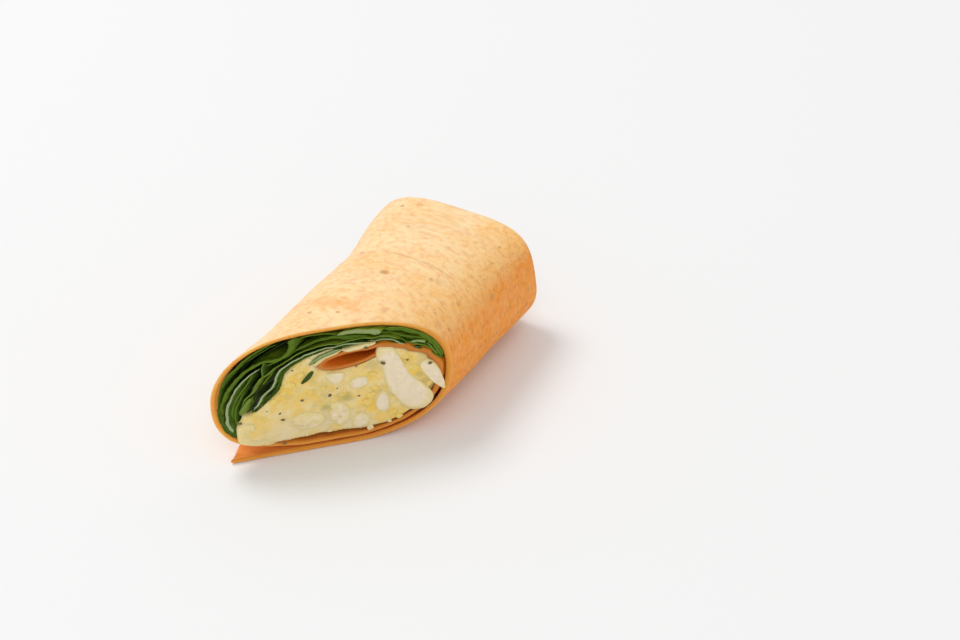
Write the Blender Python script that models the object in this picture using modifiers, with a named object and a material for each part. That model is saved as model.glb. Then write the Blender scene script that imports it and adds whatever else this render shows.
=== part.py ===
# Half of an egg salad wrap, cut across on a slant.
# A wheat tortilla is wound one and a half turns round the filling, with its far end tucked
# in. Egg salad fills the inner turn, and spinach leaves fill the crescent under the outer turn.
# Units are metres and +Z is up. The roll lies along Y: the cut face looks towards -Y, the tucked
# end towards +Y, and the free edge of the tortilla lies flat underneath, on the -X side.

import math
import random

import bmesh
import bpy
from mathutils import Matrix, Vector

# The roll
ROLL_LENGTH = 0.0974  # along the axis, from the middle of the cut face to the tucked end
CUT_SLANT = math.radians(46)  # how far the knife was turned from square across the roll
SHEET = 0.0018  # thickness of the tortilla
LAYER_GAP = 0.0006  # between two turns of the tortilla that lie together
CLEARANCE = 0.0004  # between the tortilla, the leaves and the egg salad
PRESSED = 0.0004  # how much the roll's own weight flattens it underneath
TAIL_WIDTH = 0.0250  # reach of the free edge, left of the roll's middle, at the cut
TAIL_WIDTH_AT_END = 0.0170

# Cross-section of the roll: (y, value), blended smoothly from one to the next
HALF_WIDTH = ((-0.029, 0.0294), (0.0, 0.0290), (0.055, 0.0287), (0.095, 0.0322))
HALF_HEIGHT = ((-0.029, 0.0266), (0.0, 0.0247), (0.020, 0.0246), (0.055, 0.0236), (0.095, 0.0207))
DRIFT = ((-0.029, 0.0003), (0.0, 0.0), (0.050, 0.0002), (0.095, -0.0044))  # sideways bend of the axis
TAPER = ((0.040, 0.0), (0.095, 0.11))  # the tucked end is wider below than on top
SQUARENESS_TOP_LEFT = ((0.0, 2.05), (0.050, 2.35), (0.095, 3.50))  # 2 is an ellipse, more is boxier
SQUARENESS_TOP_RIGHT = ((0.0, 2.55), (0.050, 2.30), (0.095, 3.70))
SQUARENESS_BASE = ((0.0, 2.40), (0.090, 2.50))

# Angles run round the cross-section in degrees, from +X through +Z, and go on past 360 for the
# inner turn. Insets are depths below the roll's outer surface.
OUTER_TURN = (-90, 212)
CROSSING = (212, 252)  # where the outer turn passes over the free edge and becomes the inner one
INNER_TURN_END = 423
LEAVES_FROM, LEAVES_TO = 208, 17  # the crescent of spinach
CRESCENT = ((0, 0.0020), (17, 0.0036), (34, 0.0062), (63, 0.0078), (95, 0.0092), (125, 0.0112),
            (152, 0.0126), (178, 0.0100), (196, 0.0066), (208, 0.0036))  # (angle, depth)
OUTER_INSET = SHEET / 2
INNER_INSET = 1.5 * SHEET + LAYER_GAP

# The tortilla's inner end, folded back on itself under the spinach
FOLD_CENTRE = (0.0036, 0.0143)  # right of the middle, and below the top
FOLD_HALF_LENGTH = 0.0068
FOLD_HALF_OPENING = 0.0027
FOLD_TILT = math.radians(10)
FOLD_ARC = (42, 335)

# The tucked end
TUCK_ROUNDING = 0.0040
FLUSH = 0.0003  # the folded-in part lies this far under the outer surface
TUCK_DEPTH = 0.0130  # how far the folded-in part reaches into the roll
OUTER_STOP = 0.0030  # how far the outer turn stops short of the end's rounding, underneath
INNER_STOP = 0.0060  # the same for the inner turn
TUCK_TURNS = 1.8
TUCK_RIDGE = 0.0017
PILLOW = 0.42  # share of the end face taken by the flap over the filling

# Fillings
LEAF_COUNT = 7
LEAF = 0.0007
SALAD_STOP = 0.0150  # the fillings end this far short of the tucked end
BOTTOM_HOLLOW = 0.0016  # the salad stands this far off the tortilla under its middle

# Diced egg white on the cut face: x, height, width, tallness, turn in degrees, how far it stands out
DICE = (
    (0.0005, 0.0288, 0.0066, 0.0052, 4, 0.0011),
    (0.0058, 0.0258, 0.0056, 0.0062, 20, 0.0007),
    (0.0142, 0.0330, 0.0052, 0.0100, 20, 0.0012),
    (0.0168, 0.0225, 0.0072, 0.0110, 28, 0.0010),
    (0.0222, 0.0148, 0.0064, 0.0080, 35, 0.0009),
    (0.0236, 0.0245, 0.0045, 0.0110, 28, 0.0013),
    (0.0118, 0.0168, 0.0042, 0.0088, 4, 0.0011),
    (0.0062, 0.0108, 0.0070, 0.0054, -12, 0.0009),
    (0.0010, 0.0166, 0.0066, 0.0088, 24, 0.0008),
    (-0.0060, 0.0126, 0.0084, 0.0046, -16, 0.0012),
    (-0.0180, 0.0098, 0.0086, 0.0080, -8, 0.0016),
    (-0.0112, 0.0196, 0.0068, 0.0050, -30, 0.0007),
    (-0.0120, 0.0262, 0.0056, 0.0056, 12, 0.0010),
)
DICE_DEPTH = 0.0080
LUMPS = 22
LUMP_SIZE = (0.0012, 0.0021)

ROUND_STEP = 7  # degrees between points round the roll
STATIONS = 9  # cross-sections along the roll
LEAF_STATIONS = 8


def blend(stops, at):
    """The value at a place between (place, value) stops, eased smoothly from one to the next."""
    if at <= stops[0][0]:
        return stops[0][1]
    for (low, first), (high, second) in zip(stops, stops[1:]):
        if at <= high:
            share = (at - low) / (high - low)
            return first + (second - first) * share * share * (3 - 2 * share)
    return stops[-1][1]


def steps(low, high, step):
    """Evenly spaced values from low to high, about one step apart."""
    count = max(1, round(abs(high - low) / step))
    return [low + (high - low) * i / count for i in range(count + 1)]


def section_point(angle, inset, y):
    """(x, z) in the cross-section at y, at this angle and this far below the outer surface."""
    c = math.cos(math.radians(angle))
    s = math.sin(math.radians(angle))
    squareness = SQUARENESS_BASE
    if s > 0:
        squareness = SQUARENESS_TOP_LEFT if c < 0 else SQUARENESS_TOP_RIGHT
    power = 2 / blend(squareness, y)
    half_height = blend(HALF_HEIGHT, y)
    rise = (half_height - inset) * math.copysign(abs(s) ** power, s)
    reach = (blend(HALF_WIDTH, y) - inset) * math.copysign(abs(c) ** power, c)
    reach *= 1 - blend(TAPER, y) * rise / half_height
    return blend(DRIFT, y) + reach, max(half_height + rise - PRESSED, inset)


def cut_y(x):
    """Where the knife's plane lies along the roll, at this x."""
    return x * math.tan(CUT_SLANT)


def salad_edge(angle):
    """Inset of the line between the leaves and what lies under them."""
    return blend(CRESCENT, angle)


# Tortilla

def sheet_inset(angle):
    """Inset of the middle of the tortilla as it winds inwards."""
    if angle <= OUTER_TURN[1]:
        return OUTER_INSET
    under_leaves = INNER_INSET
    if angle > 360:
        under_leaves = max(INNER_INSET, salad_edge(angle - 360) + CLEARANCE + SHEET / 2)
    return blend(((CROSSING[0], OUTER_INSET), (CROSSING[1], under_leaves)), angle)


def fold_point(arc, y, spread=0):
    """A point of the tortilla's folded-back inner end, or of a line that runs round outside it."""
    along = (FOLD_HALF_LENGTH + spread) * math.cos(math.radians(arc))
    across = (FOLD_HALF_OPENING + spread) * math.sin(math.radians(arc))
    x = blend(DRIFT, y) + FOLD_CENTRE[0]
    z = 2 * blend(HALF_HEIGHT, y) - FOLD_CENTRE[1]
    return (x + along * math.cos(FOLD_TILT) - across * math.sin(FOLD_TILT),
            z + along * math.sin(FOLD_TILT) + across * math.cos(FOLD_TILT))


def wound_angles():
    """The angles of the tortilla's rows, from underneath round to its inner end."""
    return steps(OUTER_TURN[0], INNER_TURN_END, ROUND_STEP)


def winding_rows():
    """The tortilla from its free edge inwards. Each row is (kind, place, share of the end rounding,
    how far it stops short of that rounding). The outer turn curves in over the tucked end, and the
    free edge and the inner turn stop short of it."""
    rows = [("tail", share, 0, OUTER_STOP) for share in steps(0, 1, 0.16)[:-1]]
    for angle in wound_angles():
        share = blend(((-90, 0), (-60, 1), (160, 1), (212, 0)), angle)
        short = blend(((-90, OUTER_STOP), (-60, 0), (160, 0), (212, OUTER_STOP), (235, INNER_STOP)), angle)
        rows.append(("turn", angle, share, short))
    rows += [("fold", arc, 0, INNER_STOP) for arc in steps(*FOLD_ARC, 22)]
    return rows


def sheet_point(row, y, rounding):
    """(x, z) of one row of the tortilla in the cross-section at y, drawn in by the end's rounding."""
    kind, place = row[:2]
    if kind == "fold":
        return fold_point(place, y)
    if kind == "turn":
        return section_point(place, sheet_inset(place) + rounding, y)
    reach = blend(((0, TAIL_WIDTH), (ROLL_LENGTH, TAIL_WIDTH_AT_END)), y)
    start = section_point(OUTER_TURN[0], OUTER_INSET + rounding, y)
    return blend(DRIFT, y) - reach * (1 - place), start[1]


def grid_object(name, columns, closed=False):
    """A mesh of triangles over rows of points. Closed rows also get a flat face at each end."""
    mesh = bmesh.new()
    verts = [[mesh.verts.new(point) for point in column] for column in columns]
    count = len(verts[0])
    for near, far in zip(verts, verts[1:]):
        for i in range(count if closed else count - 1):
            j = (i + 1) % count
            mesh.faces.new((near[i], near[j], far[j]))
            mesh.faces.new((near[i], far[j], far[i]))
    if closed:
        mesh.faces.new(reversed(verts[0]))
        mesh.faces.new(verts[-1])
    bmesh.ops.recalc_face_normals(mesh, faces=mesh.faces)
    data = bpy.data.meshes.new(name)
    mesh.to_mesh(data)
    mesh.free()
    return bpy.data.objects.new(name, data)


def thicken(obj, thickness):
    """Gives an open sheet its thickness, half on each side."""
    solidify = obj.modifiers.new("Thickness", "SOLIDIFY")
    solidify.thickness = thickness
    solidify.offset = 0


def boolean(obj, other, operation):
    """Joins or cuts with one object, or with every object of a collection."""
    modifier = obj.modifiers.new("Join" if operation == "UNION" else "Cut", "BOOLEAN")
    modifier.operation = operation
    modifier.solver = "EXACT"
    if isinstance(other, bpy.types.Collection):
        modifier.operand_type = "COLLECTION"
        modifier.collection = other
    else:
        modifier.object = other


def apply_modifiers(obj):
    """Turns the object's evaluated shape into its mesh."""
    graph = bpy.context.evaluated_depsgraph_get()
    shaped = bpy.data.meshes.new_from_object(obj.evaluated_get(graph))
    obj.modifiers.clear()
    obj.data = shaped


def rolled_sheet():
    """The tortilla as a wound sheet, a little longer than needed at the cut."""
    rows = winding_rows()
    spare = 0.004
    columns = []
    for station in range(STATIONS):
        share = station / (STATIONS - 1)
        column = []
        for row in rows:
            front = cut_y(sheet_point(row, 0, 0)[0]) - spare
            back = ROLL_LENGTH - TUCK_ROUNDING - row[3]
            y = front + (back - front) * share
            x, z = sheet_point(row, y, 0)
            column.append((x, y, z))
        columns.append(column)
    for turn in steps(0, 90, 30)[1:]:
        reach = TUCK_ROUNDING * math.sin(math.radians(turn))
        drawn_in = TUCK_ROUNDING * (1 - math.cos(math.radians(turn)))
        column = []
        for row in rows:
            y = ROLL_LENGTH - TUCK_ROUNDING - row[3] + reach * max(row[2], 0.15)
            x, z = sheet_point(row, y, drawn_in * row[2])
            column.append((x, y, z))
        columns.append(column)
    sheet = grid_object("tortilla", columns)
    thicken(sheet, SHEET)
    return sheet


def tuck_face(share, angle):
    """How far the folded-in end stands back from the roll's end, at a share of the way out."""
    turn = (share * TUCK_TURNS * 1.6 - angle / 360) % 1
    ridge = TUCK_RIDGE * math.sin(math.pi * turn) ** 0.8
    pleats = 0.0005 * math.cos(math.radians(5 * angle)) * share
    pillow = 0.0022 * math.cos(min(1, share / PILLOW) * math.pi / 2)
    outside = blend(((PILLOW, 0), (PILLOW + 0.2, 1)), share)
    return 0.0034 - outside * ridge - pillow + pleats * (1 - outside)


def tucked_end():
    """The part of the tortilla folded in over the end of the filling, wound into a flat spiral."""
    angles = steps(-90, 270, ROUND_STEP * 1.2)[:-1]
    columns = []
    for y in (ROLL_LENGTH - TUCK_DEPTH, ROLL_LENGTH - TUCK_ROUNDING):
        columns.append([(x, y, z) for x, z in (section_point(a, FLUSH, y) for a in angles)])
    for turn in (30, 55, 76):
        y = ROLL_LENGTH - TUCK_ROUNDING * (1 - math.sin(math.radians(turn)))
        drawn_in = TUCK_ROUNDING * (1 - math.cos(math.radians(turn)))
        columns.append([(x, y, z) for x, z in (section_point(a, FLUSH + drawn_in, y) for a in angles)])
    centre = Vector((blend(DRIFT, ROLL_LENGTH), blend(HALF_HEIGHT, ROLL_LENGTH)))
    for ring in range(9):
        share = 1 - 0.115 * ring
        column = []
        for angle in angles:
            edge = Vector(section_point(angle, TUCK_ROUNDING * 1.05, ROLL_LENGTH))
            x, z = centre + (edge - centre) * share
            column.append((x, ROLL_LENGTH - tuck_face(share, angle), z))
        columns.append(column)
    return grid_object("tuck", columns, closed=True)


# Fillings

def leaf_depths():
    """Insets of the leaf layers under the outer turn, and the distance between them."""
    first = SHEET + 2 * CLEARANCE + LEAF / 2
    pitch = (0.93 * salad_edge(152) - CLEARANCE - LEAF / 2 - first) / (LEAF_COUNT - 1)
    return [first + pitch * i for i in range(LEAF_COUNT)], pitch


def leaf_span(depth):
    """The angles between which a layer at this depth has room above the salad."""
    room = [a for a in steps(LEAVES_TO, LEAVES_FROM, 1)
            if salad_edge(a) - CLEARANCE - LEAF * 0.6 > depth]
    return room[-1], room[0]


def spinach_leaf(index):
    """One leaf layer: a thin wavy sheet from the cut face to the end of the filling."""
    chance = random.Random(40 + index)
    depths, pitch = leaf_depths()
    depth = depths[index]
    low, high = leaf_span(depth)
    angles = steps(low, high, 10.5)
    wave = (pitch - LEAF - CLEARANCE) / 2
    phase = chance.uniform(0, math.tau)
    set_back = chance.uniform(0.0002, 0.0022)
    columns = []
    for station in range(LEAF_STATIONS):
        share = station / (LEAF_STATIONS - 1)
        column = []
        for i, angle in enumerate(angles):
            y_front = cut_y(section_point(angle, depth, 0)[0]) + set_back
            y_front += 0.0007 * math.sin(2.3 * i + phase)
            y = y_front + (ROLL_LENGTH - SALAD_STOP - y_front) * share
            ripple = wave * math.sin(1.9 * i + phase + 2.2 * share)
            x, z = section_point(angle, depth + ripple, y)
            column.append((x, y, z))
        columns.append(column)
    leaf = grid_object(f"spinach_leaf_{index + 1}", columns)
    thicken(leaf, LEAF)
    return leaf


def salad_outline(y, margin=0):
    """The closed outline of the egg salad in the cross-section at y, clear of leaves and tortilla.
    A margin draws it in all round."""
    outline = []
    for angle in steps(LEAVES_FROM + 2, 108, ROUND_STEP):
        outline.append(section_point(angle, salad_edge(angle) + CLEARANCE + margin, y))
    wrap = SHEET / 2 + 1.3 * CLEARANCE + margin
    for arc in steps(160, 345, 23):
        outline.append(fold_point(arc, y, wrap * 1.2))
    for angle in reversed([a for a in wound_angles() if 232 <= a <= 412]):
        inset = sheet_inset(angle) + wrap
        if 232 <= angle < 300:
            inset += BOTTOM_HOLLOW * math.sin(math.pi * (angle - 232) / 68) ** 2
        outline.append(section_point(angle, inset, y))
    outline.append(section_point(222, SHEET + 2 * CLEARANCE + 0.0006 + margin, y))
    return outline


def egg_core(margin=0):
    """The bound mass of egg salad, running through the roll and a little past the cut."""
    spare = 0.004
    stations = 7
    fronts = [cut_y(x) - spare for x, _ in salad_outline(0, margin)]
    columns = []
    for station in range(stations):
        share = station / (stations - 1)
        column = []
        for i, front in enumerate(fronts):
            y = front + (ROLL_LENGTH - SALAD_STOP - margin - front) * share
            x, z = salad_outline(y, margin)[i]
            column.append((x, y, z))
        columns.append(column)
    return grid_object("egg_salad", columns, closed=True)


def face_place(x, z, out):
    """The point at (x, z) of the cut face, moved straight out of it."""
    return Vector((x + out * math.sin(CUT_SLANT), cut_y(x) - out * math.cos(CUT_SLANT), z))


def dice_piece(x, z, width, tallness, turn, out):
    """A piece of diced egg white, bedded in the salad with its sliced side showing."""
    bpy.ops.mesh.primitive_cube_add(size=1)
    piece = bpy.context.object
    slanted_width = width / math.cos(CUT_SLANT)
    piece.data.transform(scaled(slanted_width, DICE_DEPTH, tallness))
    bevel = piece.modifiers.new("Soft edges", "BEVEL")
    bevel.width = 0.0009
    bevel.segments = 1
    apply_modifiers(piece)
    piece.rotation_euler = (0, math.radians(-turn), CUT_SLANT)
    piece.location = face_place(x, z, out - DICE_DEPTH / 2)
    return piece


def scaled(x, y, z):
    """A matrix that scales along the three axes."""
    return Matrix.Diagonal((x, y, z, 1))


def lump(chance):
    """A small lump of mashed yolk and dressing on the cut face."""
    bpy.ops.mesh.primitive_ico_sphere_add(subdivisions=1, radius=1)
    piece = bpy.context.object
    radius = chance.uniform(*LUMP_SIZE)
    piece.data.transform(scaled(radius * 1.5, radius * 0.6, radius))
    x, z = lump_place(chance)
    piece.rotation_euler = (0, chance.uniform(0, math.tau), CUT_SLANT)
    piece.location = face_place(x, z, 0)
    return piece


def lump_place(chance):
    """A random place on the salad's cut face, well inside its outline."""
    angle = chance.uniform(0, 360)
    reach = math.sqrt(chance.uniform(0, 1))
    return -0.001 + 0.0175 * reach * math.cos(math.radians(angle)), \
        0.0180 + 0.0090 * reach * math.sin(math.radians(angle))


# Assembly

def material(name, colour, roughness):
    """A plain finish in the part's own colour."""
    made = bpy.data.materials.new(name)
    made.use_nodes = True
    shader = made.node_tree.nodes["Principled BSDF"]
    shader.inputs["Base Color"].default_value = (*colour, 1)
    shader.inputs["Roughness"].default_value = roughness
    return made


def knife():
    """A block that takes away all that lies in front of the cut plane."""
    bpy.ops.mesh.primitive_cube_add(size=1)
    block = bpy.context.object
    block.name = "knife"
    side = 0.3
    block.data.transform(scaled(side, side, side))
    block.rotation_euler = (0, 0, CUT_SLANT)
    block.location = face_place(0, 0.02, side / 2)
    block.hide_render = True
    block.display_type = "WIRE"
    return block


def move_to(collection, obj):
    """Keeps the object in this collection alone."""
    for owner in list(obj.users_collection):
        owner.objects.unlink(obj)
    collection.objects.link(obj)


def join_pieces(obj, pieces):
    """Fuses the pieces into the object and removes them."""
    loose = bpy.data.collections.new("loose_pieces")
    bpy.context.scene.collection.children.link(loose)
    for piece in pieces:
        move_to(loose, piece)
    boolean(obj, loose, "UNION")
    apply_modifiers(obj)
    for piece in pieces:
        bpy.data.objects.remove(piece)
    bpy.data.collections.remove(loose)


def base_centre(objects):
    """The middle of the underside of the objects' common box."""
    graph = bpy.context.evaluated_depsgraph_get()
    points = [Vector(corner) for obj in objects for corner in obj.evaluated_get(graph).bound_box]
    low = [min(point[i] for point in points) for i in range(3)]
    high = [max(point[i] for point in points) for i in range(3)]
    return Vector(((low[0] + high[0]) / 2, (low[1] + high[1]) / 2, low[2]))


def main():
    for obj in list(bpy.data.objects):
        bpy.data.objects.remove(obj)
    parts = bpy.data.collections.new("egg_salad_wrap")
    cutters = bpy.data.collections.new("cutters")
    for collection in (parts, cutters):
        bpy.context.scene.collection.children.link(collection)
    blade = knife()
    move_to(cutters, blade)

    tortilla = rolled_sheet()
    parts.objects.link(tortilla)
    apply_modifiers(tortilla)
    join_pieces(tortilla, [tucked_end()])
    boolean(tortilla, blade, "DIFFERENCE")
    apply_modifiers(tortilla)
    tortilla.data.materials.append(material("tortilla", (0.80, 0.45, 0.18), 0.65))

    salad = egg_core()
    parts.objects.link(salad)
    boolean(salad, blade, "DIFFERENCE")
    apply_modifiers(salad)
    chance = random.Random(7)
    pieces = [dice_piece(*row) for row in DICE] + [lump(chance) for _ in range(LUMPS)]
    bounds = egg_core(0.0003)
    move_to(cutters, bounds)
    for piece in pieces:
        boolean(piece, bounds, "INTERSECT")
        apply_modifiers(piece)
    bpy.data.objects.remove(bounds)
    join_pieces(salad, pieces)
    salad.data.materials.append(material("egg_salad", (0.80, 0.68, 0.38), 0.45))

    green = material("spinach", (0.07, 0.20, 0.03), 0.5)
    leaves = [spinach_leaf(i) for i in range(LEAF_COUNT)]
    for leaf in leaves:
        parts.objects.link(leaf)
        leaf.data.materials.append(green)

    wrap = bpy.data.objects.new("wrap", None)
    parts.objects.link(wrap)
    for obj in (tortilla, salad, *leaves):
        obj.parent = wrap
        obj.data.shade_smooth()
        obj.data.set_sharp_from_angle(angle=math.radians(40))
    wrap.location = -base_centre((tortilla, salad, *leaves))


main()
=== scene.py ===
import math
import random
from types import SimpleNamespace

import bmesh
import bpy
import numpy as np
from mathutils import Matrix, Vector, noise
from mathutils.geometry import delaunay_2d_cdt


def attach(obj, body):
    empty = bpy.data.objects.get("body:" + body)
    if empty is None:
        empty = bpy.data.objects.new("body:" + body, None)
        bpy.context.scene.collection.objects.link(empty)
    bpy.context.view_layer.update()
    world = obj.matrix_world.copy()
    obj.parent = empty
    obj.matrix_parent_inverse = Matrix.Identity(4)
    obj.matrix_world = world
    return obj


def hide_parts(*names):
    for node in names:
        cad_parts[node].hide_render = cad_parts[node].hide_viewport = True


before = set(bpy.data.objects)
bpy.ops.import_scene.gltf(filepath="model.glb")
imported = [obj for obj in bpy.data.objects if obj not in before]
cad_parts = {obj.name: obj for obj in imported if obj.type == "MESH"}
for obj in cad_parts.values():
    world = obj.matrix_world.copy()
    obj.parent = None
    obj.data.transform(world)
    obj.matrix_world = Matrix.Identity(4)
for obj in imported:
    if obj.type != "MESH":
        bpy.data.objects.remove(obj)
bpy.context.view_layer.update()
print("packed frame loaded")

# The roll, with the same named sizes as the solids, in metres. Angles run round the section from
# +X through +Z, and an inset is a depth below the outer surface.
roll = {
    "middle": (0.003937, -0.034095),  # where the axis meets the cut face
    "length": 0.0974,
    "slant": math.radians(46),
    "sheet": 0.0018,
    "layerGap": 0.0006,
    "clearance": 0.0004,
    "pressed": 0.0004,
    "tailWidth": ((-0.026, 0.0250), (-0.012, 0.0272), (0.0974, 0.0170)),
    "halfWidth": ((-0.029, 0.0294), (0.0, 0.0290), (0.055, 0.0287), (0.095, 0.0322)),
    "halfHeight": ((-0.029, 0.0266), (0.0, 0.0247), (0.020, 0.0246), (0.055, 0.0236), (0.095, 0.0207)),
    "drift": ((-0.029, 0.0003), (0.0, 0.0), (0.050, 0.0002), (0.095, -0.0044)),
    "taper": ((0.040, 0.0), (0.095, 0.11)),
    "topLeft": ((0.0, 2.05), (0.050, 2.35), (0.095, 3.50)),
    "topRight": ((0.0, 2.55), (0.050, 2.30), (0.095, 3.70)),
    "base": ((0.0, 2.40), (0.090, 2.50)),
    "turnEnd": 423,
    "fillingEnd": 0.0150,  # the filling stops this far from the far end
    "crescent": ((0, 0.0020), (17, 0.0036), (34, 0.0062), (63, 0.0078), (95, 0.0092), (125, 0.0112),
                 (152, 0.0126), (178, 0.0100), (196, 0.0066), (208, 0.0036)),
    "foldX": 0.0036,
    "foldDrop": 0.0143,
    "foldLong": 0.0068,
    "foldOpen": 0.0027,
    "foldTilt": math.radians(10),
    "rounding": 0.0040,
}


def blend(stops, at):
    # the value at a place between (place, value) stops, eased from one to the next
    at = np.asarray(at, float)
    value = np.full(at.shape, stops[0][1], float)
    for (low, first), (high, second) in zip(stops, stops[1:]):
        share = np.clip((at - low) / (high - low), 0, 1)
        value = np.where(at > low, first + (second - first) * share * share * (3 - 2 * share), value)
    return value


def sectionPoint(angle, inset, y):
    c, s = np.cos(np.radians(angle)), np.sin(np.radians(angle))
    square = np.where(s > 0, np.where(c < 0, blend(roll["topLeft"], y), blend(roll["topRight"], y)),
                      blend(roll["base"], y))
    halfHeight = blend(roll["halfHeight"], y)
    rise = (halfHeight - inset) * np.sign(s) * np.abs(s) ** (2 / square)
    reach = (blend(roll["halfWidth"], y) - inset) * np.sign(c) * np.abs(c) ** (2 / square)
    reach = reach * (1 - blend(roll["taper"], y) * rise / halfHeight)
    return blend(roll["drift"], y) + reach, np.maximum(halfHeight + rise - roll["pressed"], inset)


def foldPoint(arc, y, spread=0.0):
    along = (roll["foldLong"] + spread) * np.cos(np.radians(arc))
    across = (roll["foldOpen"] + spread) * np.sin(np.radians(arc))
    turn = roll["foldTilt"]
    return (blend(roll["drift"], y) + roll["foldX"] + along * math.cos(turn) - across * math.sin(turn),
            2 * blend(roll["halfHeight"], y) - roll["foldDrop"] + along * math.sin(turn) + across * math.cos(turn))


def sheetInset(angle):
    under = 1.5 * roll["sheet"] + roll["layerGap"]
    leaves = blend(roll["crescent"], np.asarray(angle) - 360) + roll["clearance"] + roll["sheet"] / 2
    under = np.where(np.asarray(angle) > 360, np.maximum(under, leaves), under)
    share = np.clip((np.asarray(angle, float) - 212) / 40, 0, 1)
    return roll["sheet"] / 2 + (under - roll["sheet"] / 2) * share * share * (3 - 2 * share)


def cutY(x):
    return x * math.tan(roll["slant"])


def toWorld(points):
    return np.asarray(points, float) + np.array((*roll["middle"], 0.0))


def facePoints(x, z, out):
    # places on the cut face, moved straight out of it
    x, z, out = np.broadcast_arrays(np.asarray(x, float), np.asarray(z, float), np.asarray(out, float))
    return np.stack((x + out * math.sin(roll["slant"]), cutY(x) - out * math.cos(roll["slant"]), z), -1)


def bumps(points, size, seed, octaves=3):
    # smooth seeded noise, about -1 to 1, with features of this size
    flat = np.asarray(points, float).reshape(-1, 3) / size + seed * 7.31
    values = [noise.fractal(Vector(point), 0.9, 2.1, octaves) for point in flat.tolist()]
    return np.array(values).reshape(np.shape(points)[:-1])


def lineBumps(x, z, slot, size, seed, octaves):
    # noise at places on the section, in another pattern for each slot
    return bumps(np.stack((x, np.full(len(x), slot), z), -1), size, seed, octaves)


def pairs(numbers):
    # x and z in mm, from a row of them in turn in tenths of a mm
    return np.reshape(numbers, (-1, 2)) / 10


def spaced(line, pick):
    # the points of a line at the distances along it that pick chooses from its whole length
    length = np.concatenate(([0], np.cumsum(np.hypot(*np.diff(line, axis=0).T))))
    at = pick(length[-1])
    return np.stack([np.interp(at, length, column) for column in line.T], -1)


def gridFaces(along, around, closed=False, start=0):
    i = np.arange(along - 1)[:, None]
    j = np.arange(around if closed else around - 1)[None, :]
    k = (j + 1) % around
    quads = np.stack((i * around + j, i * around + k, (i + 1) * around + k, (i + 1) * around + j), -1)
    return start + quads.reshape(-1, 4)


def addObject(name, data):
    made = bpy.data.objects.new(name, data)
    bpy.context.scene.collection.objects.link(made)
    return made


def makePiece(name, points, faces, materials, slots=None, values=None, sharp=42):
    data = bpy.data.meshes.new(name)
    data.from_pydata(np.asarray(points).tolist(), [], [list(face) for face in faces])
    for key, array in (values or {}).items():
        array = np.asarray(array, np.float32)
        kind = "FLOAT" if array.ndim == 1 else "FLOAT_VECTOR"
        layer = data.attributes.new(key, kind, "POINT")
        layer.data.foreach_set("value" if array.ndim == 1 else "vector", array.ravel())
    for material in materials:
        data.materials.append(material)
    if slots is not None:
        data.polygons.foreach_set("material_index", np.asarray(slots, np.int32))
    mesh = bmesh.new()
    mesh.from_mesh(data)
    bmesh.ops.recalc_face_normals(mesh, faces=mesh.faces)
    mesh.to_mesh(data)
    mesh.free()
    data.shade_smooth()
    data.set_sharp_from_angle(angle=math.radians(sharp))
    return addObject(name, data)


def settle(piece, slot, *nodes):
    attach(piece, "root")
    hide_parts(*nodes)


# Shader arithmetic

class Value:
    def __init__(self, tree, socket=None):
        self.tree = tree
        self.socket = socket

    def node(self, kind, settings=None, inputs=None, output=0):
        made = self.tree.nodes.new(kind)
        for name, setting in (settings or {}).items():
            setattr(made, name, setting)
        for name, value in (inputs or {}).items():
            if isinstance(value, Value):
                self.tree.links.new(value.socket, made.inputs[name])
            else:
                made.inputs[name].default_value = value
        return Value(self.tree, made.outputs[output]) if made.outputs else None

    def maths(self, operation, *values):
        return self.node("ShaderNodeMath", {"operation": operation}, dict(enumerate(values)))

    def __add__(self, other):
        return self.maths("ADD", self, other)

    def __sub__(self, other):
        return self.maths("SUBTRACT", self, other)

    def __rsub__(self, other):
        return self.maths("SUBTRACT", other, self)

    def __mul__(self, other):
        return self.maths("MULTIPLY", self, other)

    def __truediv__(self, other):
        return self.maths("DIVIDE", self, other)

    def __abs__(self):
        return self.maths("ABSOLUTE", self)

    __radd__ = __add__
    __rmul__ = __mul__

    def rise(self, low, high):
        # eased from 0 at low to 1 at high
        return self.node("ShaderNodeMapRange", {"interpolation_type": "SMOOTHSTEP"},
                         {"Value": self, "From Min": low, "From Max": high})

    def fall(self, low, high):
        return 1 - self.rise(low, high)

    def stretched(self, scale):
        return self.node("ShaderNodeVectorMath", {"operation": "MULTIPLY"}, {0: self, 1: scale})

    def cloud(self, size, detail=2.0, roughness=0.5, distortion=0.0):
        # noise of this feature size at this place
        return self.node("ShaderNodeTexNoise", None, {"Vector": self, "Scale": 1 / size, "Detail": detail,
                                                      "Roughness": roughness, "Distortion": distortion})

    def cells(self, size, output=0):
        return self.node("ShaderNodeTexVoronoi", None, {"Vector": self, "Scale": 1 / size}, output)

    def part(self, index):
        return self.node("ShaderNodeSeparateXYZ", None, {"Vector": self}, index)

    def attribute(self, name, output=2):
        return self.node("ShaderNodeAttribute", {"attribute_name": name}, None, output)

    def place(self):
        # the place on the object, in mm
        return self.node("ShaderNodeTexCoord", None, None, 3).stretched((1000, 1000, 1000))

    def mix(self, factor, first, second):
        return self.node("ShaderNodeMix", {"data_type": "RGBA"}, {0: factor, 6: first, 7: second}, 2)

    def coat(self, factor, other):
        return self.mix(factor, self, other)

    def surface(self, colour, roughness, specular, relief=None, flesh=None):
        # relief is a height and its distance, flesh the weight, radius and scale of light under the surface
        inputs = {"Base Color": colour, "Roughness": roughness, "Specular IOR Level": specular}
        if relief:
            inputs["Normal"] = self.node("ShaderNodeBump", None, dict(zip(("Height", "Distance"), relief)))
        if flesh:
            inputs.update(zip(("Subsurface Weight", "Subsurface Radius", "Subsurface Scale"), flesh))
        self.node("ShaderNodeOutputMaterial", None, {"Surface": self.node("ShaderNodeBsdfPrincipled", None, inputs)})


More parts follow.
